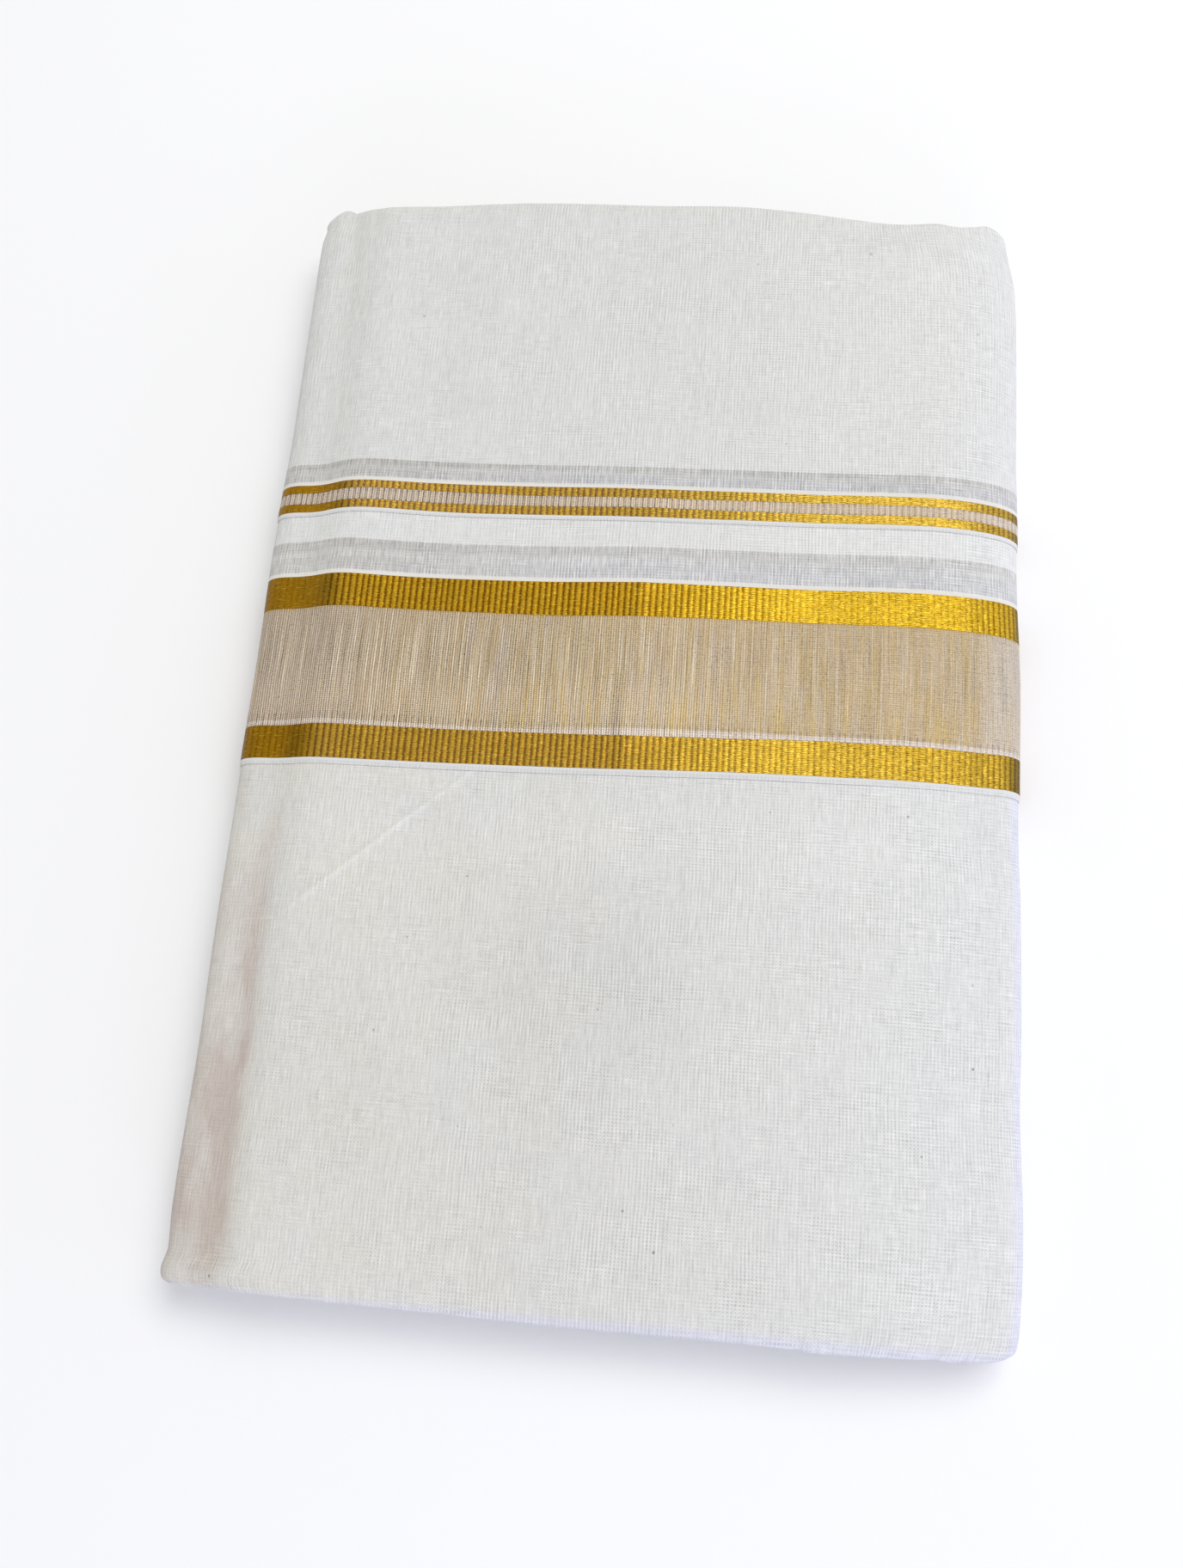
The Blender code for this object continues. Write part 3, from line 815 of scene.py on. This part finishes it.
def tissue(name, narrow=False):
    """Beige and gold threads in chains of small grains, with uneven streaks and a paler line beside the lower gold."""
    g = Graph(name, 0.62, 0.15, 0.35)
    drift = g.math("MULTIPLY_ADD", g.noise(40, 30, 1.0, 3.0), 1.2, -0.6)
    along = g.add(g.u, drift)
    streak = g.noise(0.50, 34, 1.0, 1.0)
    wide = g.noise(3.0, 50, 2.0, 5.0)
    hue = g.noise(1.8, 22, 2.0, 14.0)
    greyish = g.noise(5.0, 60, 1.0, 54.0)
    gilt = g.noise(3.4, 30, 2.0, 31.0)
    fine = g.noise(0.50, 5, 2.0, 8.0)
    speckle = g.noise(0.80, 0.62, 2.0, 71.0)
    weft = g.noise(9, 0.40, 2.0, 9.0)
    period = 0.82
    calm = g.map(g.u, 5, 60)  # the threads lie smoother at the right
    rough = g.math("SUBTRACT", 1.0, calm)
    left_end = g.map(g.u, -70, -104)
    pale_end = g.map(g.u, 110, 121)
    toward_low = g.map(g.v, -14.0, -38.0)
    line = g.wave(along, period)
    dots = g.wave(g.add(g.v, g.times(g.wave(along, 2 * period), 0.36), g.times(fine, 0.3)), 0.74)
    twill = g.wave(g.add(g.v, g.times(along, 0.88), g.times(fine, 0.25)), 0.74)
    rows = g.wave(g.add(g.v, g.times(g.noise(16, 5, 1.0, 77.0), 1.4)), 0.68)
    grain = g.times(line, g.add(0.15, g.times(dots, 0.50), g.times(twill, 0.35)))
    colour = g.mix(g.map(hue, 0.36, 0.64), (0.498, 0.374, 0.218), (0.532, 0.424, 0.284))
    gilt_share = g.times(g.map(gilt, 0.40, 0.60), g.map(hue, 0.70, 0.42), g.math("MULTIPLY_ADD", toward_low, 0.45, 0.42))
    colour = g.mix(g.times(gilt_share, g.map(g.u, -62, -25)), colour, (0.560, 0.412, 0.175))
    colour = g.mix(g.times(g.map(greyish, 0.56, 0.70), 0.40), colour, (0.510, 0.425, 0.350))
    colour = g.mix(g.times(left_end, 0.50), colour, (0.470, 0.385, 0.312))
    colour = g.mix(g.times(g.map(streak, 0.55, 0.67), g.math("MULTIPLY_ADD", calm, -0.33, 0.75)), colour, (0.74, 0.645, 0.485))
    colour = g.mix(g.times(pale_end, 0.45), colour, (0.610, 0.580, 0.540))
    spots = g.times(g.map(speckle, 0.40, 0.28), g.map(g.noise(16, 12, 1.0, 88.0), 0.40, 0.60))
    tone = g.add(
        0.730,
        g.times(grain, g.math("MULTIPLY_ADD", rough, 0.84, 0.34), g.math("MULTIPLY_ADD", toward_low, 0.35, 0.85)),
        g.math("MULTIPLY_ADD", fine, 0.40, -0.20),
        g.math("MULTIPLY_ADD", speckle, 0.74, -0.37),
        g.times(g.math("SUBTRACT", weft, 0.5), g.math("MULTIPLY_ADD", calm, 0.36, 0.16)),
        g.times(g.math("SUBTRACT", rows, 0.35), calm, 0.24),
        g.math("MULTIPLY_ADD", wide, 0.26, -0.13),
        g.times(g.map(streak, 0.42, 0.30), -0.24),
        g.times(spots, -0.22),
        g.times(calm, 0.150),
        g.times(g.map(g.u, 10, -30), -0.098),
    )
    if narrow:
        ribs = g.wave(along, 2.03)
        ticks = g.times(g.map(ribs, 0.42, 0.96), g.math("MULTIPLY_ADD", calm, -0.25, 1.0))
        teeth = g.times(ribs, g.map(g.math("ABSOLUTE", g.add(g.v, -1.95)), 0.7, 1.7))
        colour = g.mix(0.45, colour, (0.655, 0.545, 0.455))
        tone = g.add(tone, g.times(ticks, -0.36), g.times(teeth, -0.16), 0.12)
    else:
        pale = g.add(g.band(-41.5, -40.1, 0.25), g.times(g.band(-40.3, -38.9, 0.25), g.map(g.u, -55, 10)))
        ribs = g.wave(along, 2.06)
        ticks = g.map(ribs, 0.55, 0.96)
        comb = g.times(g.map(g.wave(along, 1.03), 0.5, 1.0), g.band(-41.0, -34.5, 1.6), rough)
        colour = g.mix(g.times(pale, g.math("MULTIPLY_ADD", rough, -0.2, 0.75)), colour, (0.655, 0.570, 0.505))
        tone = g.add(tone, g.times(ticks, g.band(-42.5, -37.5, 0.5), -0.24), g.times(comb, -0.17), g.times(pale, 0.10))
        tips = g.times(g.wave(along, 1.03), g.map(g.v, -1.3, -0.1))
        colour = g.mix(g.times(tips, 0.75), colour, (0.50, 0.30, 0.05))
        shadow = g.times(g.map(g.math("ABSOLUTE", g.add(g.u, 3.0)), 3.2, 0.0), g.map(g.v, -8.0, -34.0))
        tone = g.add(tone, g.times(shadow, -0.20))
    g.colour(g.scale(colour, tone))
    g.bump(g.add(g.times(grain, 1.0), g.times(fine, 0.8), g.times(weft, 0.7)), 0.00012, 0.9)
    g.shader.inputs["Sheen Weight"].default_value = 0.12
    return g.material


# ---------------------------------------------------------------- camera
def camera():
    """The photo's viewing angle, solved from the bundle's corners: the axes are right, up and back in the plane of the
    top, which rises by a small angle towards the far edge."""
    turn = Matrix.Rotation(math.radians(0.546), 4, "X")
    axes = Matrix(
        (
            (0.99503, -0.05453, 0.08329, 0.0),
            (0.07528, 0.95960, -0.27111, 0.0),
            (-0.06515, 0.27603, 0.95894, 0.0),
            (0.0, 0.0, 0.0, 1.0),
        )
    )
    place = turn @ Vector((25.36, -144.38, 404.59)) + Vector((0.0, 0.0, 27.0))
    data = bpy.data.cameras.new("camera")
    data.sensor_width = 36.0
    data.sensor_fit = "AUTO"
    data.lens = 30.377
    data.clip_start, data.clip_end = 0.01, 20.0
    obj = bpy.data.objects.new("camera", data)
    bpy.context.scene.collection.objects.link(obj)
    obj.matrix_world = Matrix.Translation(place * MM) @ turn @ axes
    bpy.context.scene.camera = obj


def area_light(name, place, target, size, power, colour=(1, 1, 1)):
    data = bpy.data.lights.new(name, "AREA")
    data.shape = "RECTANGLE"
    data.size, data.size_y = size
    data.energy = power
    data.color = colour
    obj = bpy.data.objects.new(name, data)
    bpy.context.scene.collection.objects.link(obj)
    obj.location = place
    obj.rotation_euler = (Vector(target) - Vector(place)).to_track_quat("-Z", "Y").to_euler()


def studio():
    scene = bpy.context.scene
    scene.view_settings.view_transform = "Standard"
    scene.view_settings.look = "None"
    world = bpy.data.worlds.new("studio")
    world.use_nodes = True
    soft = world.node_tree.nodes["Background"]
    soft.inputs[0].default_value = (0.97, 0.985, 1.0, 1.0)
    soft.inputs[1].default_value = 0.56
    scene.world = world
    area_light("key", (0.75, 0.85, 2.10), (0.0, 0.0, 0.0), (1.6, 1.3), 28.0, (1.0, 0.985, 0.955))
    area_light("right_low", (1.45, -0.25, 0.34), (0.10, 0.0, 0.0), (1.3, 0.45), 4.1, (0.55, 0.59, 1.0))
    area_light("near_low", (0.25, -1.45, 0.40), (0.0, -0.15, 0.0), (1.3, 0.5), 6.0, (0.66, 0.68, 1.0))
    area_light("left_low", (-1.5, -0.5, 0.6), (0.0, 0.0, 0.0), (1.0, 0.6), 1.1, (1.0, 0.90, 0.80))
    floor_mesh = bpy.data.meshes.new("floor")
    r, z = 6.0, -0.0003
    floor_mesh.from_pydata([(-r, -r, z), (r, -r, z), (r, r, z), (-r, r, z)], [], [(0, 1, 2, 3)])
    floor = bpy.data.objects.new("floor", floor_mesh)
    scene.collection.objects.link(floor)
    material = bpy.data.materials.new("floor_paint")
    material.use_nodes = True
    shader = material.node_tree.nodes["Principled BSDF"]
    shader.inputs["Base Color"].default_value = (0.97, 0.97, 0.97, 1.0)
    shader.inputs["Roughness"].default_value = 0.9
    shader.inputs["Specular IOR Level"].default_value = 0.1
    floor_mesh.materials.append(material)


# ---------------------------------------------------------------- the cloth
def hidden_path():
    """The line of the hidden strips through the bundle, from the fold group's underside to the inner free end."""
    top_x = outer.p[(outer.s > -119.0) & (outer.s < 93)][:, 0]
    top_z = outer.p[(outer.s > -119.0) & (outer.s < 93)][:, 1]

    def level(j, x):
        """Height of strip j's middle at x, left of the round fold, and its thickness there."""
        s = 1 - ramp(x, -112, -92)
        groups = {
            # first strip, count: bottom and top of the group far from the folds, and at them
            8: (8, 13.2, None, 12.9, None),
            4: (4, 6.6, 13.2, 6.6, 12.6),
            2: (2, 3.3, 6.6, 3.4, 6.4),
            1: (1, 1.65, 3.3, 1.75, 3.25),
        }
        first = 8 if j >= 8 else 4 if j >= 4 else 2 if j >= 2 else 1
        count, low, high, low_end, high_end = groups[first]
        bottom = low * (1 - s) + low_end * s
        if first == 8:
            top = np.interp(x, top_x, top_z)
        else:
            top = high * (1 - s) + high_end * s
        step = (top - bottom) / count
        return bottom + step * (j - first + 0.5), step

    def left_turn(high, low):
        """Round the fold at the left from one strip to the other."""
        if high >= 12:
            k, cx, a = 15 - high, LEFT0 + LUMP_A, LUMP_A
            a = a - 1.3 * (k + 0.5)
        elif high >= 6:
            k, cx = 7 - high, -120.6
            a = 4.8 - 1.5 * (k + 0.5)
        else:
            cx, a = -121.2, 2.1
        zh, zl = level(high, cx)[0], level(low, cx)[0]
        return cx, (zh + zl) / 2, a, (zh - zl) / 2

    def right_turn(j):
        d = PITCH * (j + 0.5)
        top = arc(RIGHT0 - ROLL_A, MID, ROLL_A - d, MID - d, 88, 2, 40)
        low = arc(RIGHT0 - ROLL_UNDER, MID, ROLL_UNDER - d, MID - d, 0, -88, 24)
        return top + low

    order = [8, 7, 4, 11, 12, 3, 2, 13, 10, 5, 6, 9, 14, 1]
    points, strip_of = [], []
    for place, j in enumerate(order):
        going_right = place % 2 == 0
        start = UNDER_X - 0.5 if place == 0 else None
        end_right = RIGHT0 - (ROLL_A if j >= 8 else ROLL_UNDER)
        partner_left = order[place - 1] if going_right and place else (order[place + 1] if not going_right and place < 13 else None)
        if partner_left is not None:
            cx = left_turn(max(j, partner_left), min(j, partner_left))[0]
        else:
            cx = start if start is not None else -122.4
        xs = np.arange(cx, end_right, 1.0)
        run = [(x, float(level(j, x)[0])) for x in xs]
        if not going_right:
            run = run[::-1]
        points += run
        strip_of += [j] * len(run)
        if place == 13:
            break
        partner = order[place + 1]
        if going_right:
            turn = right_turn(min(j, partner))
            turn = turn if j > partner else turn[::-1]
        else:
            cx, cz, a, b = left_turn(max(j, partner), min(j, partner))
            turn = arc(cx, cz, a, b, 95, 265, 16)
            turn = turn if j > partner else turn[::-1]
        points += turn
        strip_of += [j] * (len(turn) // 2) + [partner] * (len(turn) - len(turn) // 2)
    return np.array(points), np.array(strip_of)


def hidden_layers(material):
    """The hidden strips: one flat tube along their line, with a round fold at its near and far edges."""
    raw, strips = hidden_path()
    length = np.concatenate([[0], np.cumsum(np.linalg.norm(np.diff(raw, axis=0), axis=1))])
    path = Line(raw, 0.25, 5)
    strip_at = strips[np.clip(np.searchsorted(length, path.s * length[-1] / path.s[-1]), 0, len(strips) - 1)]
    bend = np.abs(np.gradient(np.unwrap(np.arctan2(path.n[:, 1], path.n[:, 0])), path.s))
    places, i = [0], 0
    while i < len(path.s) - 1:
        step = 7.0 if bend[i : i + 12].max() < 0.02 else 2.4 if bend[i : i + 6].max() < 0.09 else 0.8
        i = min(i + max(int(step / 0.25), 1), len(path.s) - 1)
        places.append(i)
    places = np.array(places)
    s = path.s[places]
    x, z, nx, nz = path.at(s)
    j = strip_at[places]
    lump = 1 - ramp(x, -112, -92)
    half = (0.70 - 0.13 * lump * (j >= 8) - 0.04 * lump * (j < 8)) * np.ones_like(x)
    rng = np.random.default_rng(7)
    own = {k: rng.uniform(-1, 1, 4) for k in range(STRIPS)}
    own = np.array([own[k] for k in j])
    for k in range(4):
        own[:, k] = np.convolve(np.pad(own[:, k], 6, mode="edge"), np.ones(13) / 13, mode="valid")
    near = near_along(x) + 0.75 + 0.45 * own[:, 0] + 0.25 * np.sin(x / 19 + 5 * own[:, 1]) + 0.15 * np.sin(x / 7.3 + 9 * own[:, 2])
    far = far_along(x) - 1.0 - 0.5 * own[:, 1] - 0.3 * np.sin(x / 23 + 6 * own[:, 2]) - 0.15 * np.sin(x / 8.1 + 7 * own[:, 3])
    turn = np.radians(np.linspace(-90, 90, 7))
    rows = []
    for q in turn:  # near fold, from under to over
        rows.append((near + 0.9 * (1 - np.cos(q)), half * np.sin(q)))
    for share in (0.02, 0.25, 0.5, 0.75, 0.98):
        rows.append((near + (far - near) * share, half))
    for q in turn[::-1]:
        rows.append((far - 0.9 * (1 - np.cos(q)), half * np.sin(q)))
    for share in (0.98, 0.75, 0.5, 0.25, 0.02):
        rows.append((near + (far - near) * share, -half))
    y = np.stack([r[0] for r in rows], 1)
    out = np.stack([np.broadcast_to(r[1], x.shape) for r in rows], 1)
    px, py, pz = warp(x[:, None] + nx[:, None] * out, y, z[:, None] + nz[:, None] * out)
    points = to_metres(px, py, pz)
    weave = np.stack([np.repeat(s[:, None], len(rows), 1), y], -1)
    faces = grid_faces(len(s), len(rows), closed=True)
    count = len(rows)
    caps = []
    for base, flip in ((0, False), ((len(s) - 1) * count, True)):
        for k in range(count // 2 - 1):
            a, b = (count - k) % count, count - k - 1
            quad = [base + k, base + k + 1, base + b, base + a] if k else None
            if quad:
                caps.append(quad[::-1] if flip else quad)
    parts = [(points, weave, None, np.concatenate([faces, np.array(caps)]) if caps else faces)]
    # the turned-back layer of the outer strip, which shows at its free end
    us = np.arange(END - 46.0, END - 0.55, 1.5)
    inner = []
    for q in np.linspace(0, 1, 12):
        inner.append((near_along(us) + 11.5 + (far_along(us) - 11 - near_along(us) - 11.5) * q, -1.02 + 0 * us))
    for q in np.linspace(1, 0, 12):
        inner.append((near_along(us) + 11.5 + (far_along(us) - 11 - near_along(us) - 11.5) * q, -1.46 + 0 * us))
    u2 = np.repeat(us[:, None], len(inner), 1)
    y2 = np.stack([r[0] for r in inner], 1)
    o2 = np.stack([r[1] for r in inner], 1)
    pts = to_metres(*outer_point(u2, y2, o2))
    n2 = len(inner)
    caps2 = []
    for base, flip in ((0, False), ((len(us) - 1) * n2, True)):
        for k in range(n2 // 2 - 1):
            quad = [base + k, base + k + 1, base + n2 - 2 - k, base + n2 - 1 - k]
            caps2.append(quad[::-1] if flip else quad)
    parts.append((pts, np.stack([u2, y2], -1), None, np.concatenate([grid_faces(len(us), n2, closed=True), np.array(caps2)])))
    piece = build("hidden_layers_cloth", parts, material, 0.0, "folded_core")
    return piece, path.s[-1]


def lump_ribbons(first, second, rib=None, clearance=0.12, rows=4, base_across=None):
    """A band where it shows again on the two lower fold groups at the left."""
    made = []
    for cx, cz, a, b in ((-120.6, 9.6, 4.8, 3.0), (-121.2, 4.9, 2.85, 1.5)):
        points = [(cx + 9, cz + b)] + arc(cx, cz, a, b, 92, 268, 24) + [(cx + 9, cz - b)]
        path = Line(points, 0.2, 6)
        s = np.arange(0, path.s[-1], 0.8)
        x, z, nx, nz = path.at(s)
        # the line runs from top to bottom round the left, so its outward side is the other one
        y = np.stack([line[first](-135.0) + (line[second](-135.0) - line[first](-135.0)) * t + 0 * s for t in np.linspace(0, 1, rows)], 1)
        base = line[first](-135.0) if base_across is None else line[base_across](-135.0)
        across = y - base if base_across else y
        out = -(clearance + 0 * y)
        if rib is not None:
            shape, value = rib(np.repeat(s[:, None] + 160.0, rows, 1), across)
            out = out - shape
        else:
            value = None
        px, py, pz = warp(x[:, None] + nx[:, None] * out, y, z[:, None] + nz[:, None] * out)
        faces = grid_faces(len(s), rows)
        made.append((to_metres(px, py, pz), np.stack([np.repeat(s[:, None] + 160.0, rows, 1), across], -1), value, faces))
    return made


rng = np.random.default_rng(23)
_widths = 2.06 * (1 + 0.12 * rng.uniform(-1, 1, 440))
_starts = START - 5 + np.concatenate([[0], np.cumsum(_widths)])
_height = 1 + 0.25 * rng.uniform(-1, 1, 441)


def ribs(u, across, depth=0.15, least=0.42):
    """Height of the gold bands' ribs and how near to a ridge each point is."""
    k = np.clip(np.searchsorted(_starts, u, side="right") - 1, 0, len(_widths) - 1)
    t = (u - _starts[k]) / _widths[k]
    round_top = np.sin(math.pi * np.clip(t, 0, 1)) ** 0.75
    smooth_patch = ramp(u, 30, 62) * (1 - ramp(u, 104, 122))
    strong = np.maximum(ramp(u, -111, -101) * (1 - 0.62 * smooth_patch), least)
    value = 1 - (1 - round_top) * strong
    return depth * (round_top * strong * _height[k] - 0.5 * strong), value


def under(u, own_out, edge_dip=0.5):
    """How far out a layer lies where another covers it: at its own height, or pressed in where all lie flat."""
    return own_out * proud(u) - edge_dip * (1 - proud(u))


def lower_panel(material):
    us = steps(START, END, 1.6)
    g = proud(us)
    d = strip_depth(us)
    near, edge = near_along(us), line["middle_edge"](us)
    rows = []
    for t in (10.0, 6.0, 3.0):
        rows.append((near + t, -d, near - t - 1.2))
    r = d / 2
    for q in np.radians(np.linspace(-90, 90, 9)):
        rows.append((near + r * (1 - np.cos(q)), -r + r * np.sin(q), near + r * q))
    y0, y1 = near + r, edge - 1.1
    for t in np.concatenate([[0.006, 0.014, 0.024, 0.036, 0.05], np.linspace(0.065, 1, 74)]):
        rows.append((y0 + (y1 - y0) * t, 0 * us, y0 + (y1 - y0) * t))
    rows.append((edge - 0.4, -0.25 * (1 - g), edge - 0.4))
    rows.append((edge + 0.3, under(us, 0.0, 0.52), edge + 0.3))
    rows.append((edge + 3.0, under(us, 0.0, 0.52), edge + 3.0))
    rows.append((edge + 7.0, under(us, -0.1, 0.56), edge + 7.0))
    return build("lower_panel_cloth", [panel(us, rows)], material, THICK, "lower_panel")


def band_rows(us, first, second, count, out, zero):
    a, b = line[first](us), line[second](us)
    base = line[zero](us)
    return [(a + (b - a) * t, out, a + (b - a) * t - base) for t in np.linspace(0, 1, count)]


def band_piece(
    name, node, material, first, second, count, out, zero, step, rib=None, gap=0.04, lumps=True, thick=0.36, first_low=1.0
):
    us = steps(START, END, step, 4.0 if step > 1 else step)
    level = out * proud(us)
    rows = band_rows(us, first, second, count, level, zero)
    rows[0] = (rows[0][0] + gap, rows[0][1] * first_low, rows[0][2] + gap)
    rows[-1] = (rows[-1][0] - gap, rows[-1][1], rows[-1][2] - gap)
    parts = [panel(us, rows, rib=rib)]
    if lumps:
        parts += lump_ribbons(first, second, rib, rows=count, base_across=zero)
    return build(name, parts, material, thick, node)


def middle_flap(material):
    us = steps(START, END, 1.6)
    a, e = line["middle_flap"](us), line["upper_edge"](us)
    rows = []
    for t in np.linspace(0, 1, 16):
        y = a + (e - 1.1 - a) * t
        rows.append((y + (0.04 if t == 0 else 0), MIDDLE_OUT * proud(us), y - a))
    rows.append((e - 0.4, MIDDLE_OUT * proud(us) - 0.25 * (1 - proud(us)), e - 0.4 - a))
    for t in (0.3, 3.0, 7.0):
        rows.append((e + t, under(us, MIDDLE_OUT, 0.52), e + t - a))
    return build("middle_flap_cloth", [panel(us, rows)], material, THICK, "middle_flap")


def upper_flap(material):
    us = steps(START, END, 1.6)
    a, far = line["upper_flap"](us), far_along(us)
    g = proud(us)
    top = UPPER_OUT * g
    low = -strip_depth(us)
    r = (top - low) / 2
    rows = []
    for t in np.concatenate([np.linspace(0, 0.93, 56), [0.95, 0.966, 0.978, 0.988, 0.995]]):
        y = a + (far - r - a) * t
        rows.append((y + (0.04 if t == 0 else 0), top, y - a))
    for q in np.radians(np.linspace(90, -90, 11)):
        rows.append((far - r + r * np.cos(q), (top + low) / 2 + r * np.sin(q), far - a + r * (math.pi / 2 - q)))
    for t in (3.0, 6.0, 9.0):
        rows.append((far - r - t, low, far - a + r * math.pi + t))
    return build("upper_flap_cloth", [panel(us, rows)], material, THICK, "upper_flap")


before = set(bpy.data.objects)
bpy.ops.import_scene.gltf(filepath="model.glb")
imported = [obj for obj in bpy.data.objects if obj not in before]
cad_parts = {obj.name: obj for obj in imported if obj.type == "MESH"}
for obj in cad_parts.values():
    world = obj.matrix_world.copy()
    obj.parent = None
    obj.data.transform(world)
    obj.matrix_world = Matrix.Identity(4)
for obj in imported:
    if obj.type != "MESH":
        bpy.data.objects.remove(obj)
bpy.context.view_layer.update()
camera()
studio()

LOWER_SPECKS = [
    # x, y, radius, darkness
    (-46.2, -62.3, 0.34, 0.55),
    (-63.1, -82.8, 0.30, 0.50),
    (-70.2, -111.9, 0.34, 0.60),
    (-31.6, -166.3, 0.26, 0.45),
    (-110.4, -186.4, 0.36, 0.75),
    (-41.3, -138.4, 0.26, 0.45),
    (91.0, -34.7, 0.42, 0.60),
    (47.6, -36.1, 0.30, 0.45),
    (111.9, -110.6, 0.42, 0.75),
    (111.3, -85.6, 0.36, 0.40),
    (-2.1, -101.0, 0.34, 0.50),
    (9.5, -158.7, 0.38, 0.65),
    (19.2, -169.4, 0.44, 0.70),
    (22.8, -133.4, 0.28, 0.45),
    (96.4, -137.0, 0.36, 0.55),
]
UPPER_SPECKS = [
    # x, distance from the border, radius, darkness
    (-82.6, 66.3, 0.42, 0.55),
    (35.6, 90.4, 0.40, 0.45),
    (75.4, 95.4, 0.55, 0.40),
    (112.7, 65.4, 0.42, 0.50),
    (48.1, 19.0, 0.32, 0.45),
]
# Broad patches a little lighter or darker on the lower panel; the lighter one at x 100 by the near edge is painted
# light on the rounding there.
LOWER_SHADES = [
    # x, y, half width, half length, shade
    (-10.0, -92.0, 44.0, 44.0, -0.060),
    (-84.0, -132.0, 30.0, 42.0, -0.030),
    (-20.0, -150.0, 40.0, 30.0, -0.020),
    (100.0, -176.0, 20.0, 9.0, 0.042),
    (70.0, -48.0, 40.0, 16.0, 0.030),
    (-5.0, -48.0, 44.0, 16.0, 0.030),
    (-88.0, -50.0, 30.0, 22.0, 0.022),
]
LOWER_CREASES = [
    # from x, from y, to x, to y, half width, height
    (-41.0, -21.5, -76.0, -52.0, 1.6, 0.75),
    (-60.0, -37.8, -107.5, -81.5, 1.9, 1.1),
    (-121.0, -80.2, -103.5, -79.0, 1.2, 0.9),
]

white_hidden = cotton("cotton_layers")
white_lower = cotton("cotton_lower", specks=LOWER_SPECKS, creases=LOWER_CREASES, shades=LOWER_SHADES, painted_warmth=0.95, bright=0.02, painted_rim_light=True)
white_middle = cotton("cotton_middle", grey_strip=(1.6, 13.0), cream_line=(0.0, 1.1), bright=0.058)
# the upper cotton's one shade is a painted shadow in the shallow dip by the far edge at the right
white_upper = cotton(
    "cotton_upper", bright=0.01, grey_strip=(1.6, 8.3), cream_line=(0.0, 1.05), specks=UPPER_SPECKS, shades=[(84.0, 101.0, 14.0, 5.0, -0.05)]
)
white_selvedge = cotton("cotton_selvedge", plain=0.7, bright=-0.005, edge_line=(-0.80, 0.6))
gold_wide = gold("gold_wide", end=1.13)
gold_wide_low = gold("gold_wide_low", pale=0.045, left=0.93, middle=0.95, dark_at=-107.5, turn_at=122.0)
gold_narrow = gold("gold_narrow", pale=0.08, left=1.09, middle=0.81, right=1.02)
beige_wide = tissue("tissue_wide")
beige_narrow = tissue("tissue_narrow", narrow=True)

hidden, hidden_length = hidden_layers(white_hidden)
lower = lower_panel(white_lower)
middle_selvedge = band_piece(
    "middle_selvedge_cloth", "middle_selvedge", white_selvedge, "middle_edge", "wide_gold_lower", 5,
    MIDDLE_OUT, "wide_gold_lower", 1.6, lumps=False, thick=0.27, first_low=0.62
)
wide_gold_lower = band_piece(
    "wide_gold_lower_cloth", "wide_gold_lower", gold_wide_low, "wide_gold_lower", "wide_beige", 10,
    MIDDLE_OUT, "wide_gold_lower", 0.38, lambda u, across: ribs(u, across, 0.15, 0.68)
)
wide_beige = band_piece(
    "wide_beige_cloth", "wide_beige", beige_wide, "wide_beige", "wide_gold_upper", 24,
    MIDDLE_OUT, "wide_gold_upper", 1.6
)
wide_gold_upper = band_piece(
    "wide_gold_upper_cloth", "wide_gold_upper", gold_wide, "wide_gold_upper", "middle_flap", 10,
    MIDDLE_OUT, "wide_gold_upper", 0.38, ribs
)
middle = middle_flap(white_middle)
upper_selvedge = band_piece(
    "upper_selvedge_cloth", "upper_selvedge", white_selvedge, "upper_edge", "narrow_gold_lower", 4,
    UPPER_OUT, "narrow_gold_lower", 1.6, lumps=False, thick=0.27, first_low=0.80
)
narrow_gold_lower = band_piece(
    "narrow_gold_lower_cloth", "narrow_gold_lower", gold_narrow, "narrow_gold_lower", "narrow_beige", 5,
    UPPER_OUT, "narrow_gold_lower", 0.38, lambda u, across: ribs(u, across, 0.11)
)
narrow_beige = band_piece(
    "narrow_beige_cloth", "narrow_beige", beige_narrow, "narrow_beige", "narrow_gold_upper", 6,
    UPPER_OUT, "narrow_beige", 1.0
)
narrow_gold_upper = band_piece(
    "narrow_gold_upper_cloth", "narrow_gold_upper", gold_narrow, "narrow_gold_upper", "upper_flap", 5,
    UPPER_OUT, "narrow_gold_upper", 0.38, lambda u, across: ribs(u, across, 0.11)
)
upper = upper_flap(white_upper)
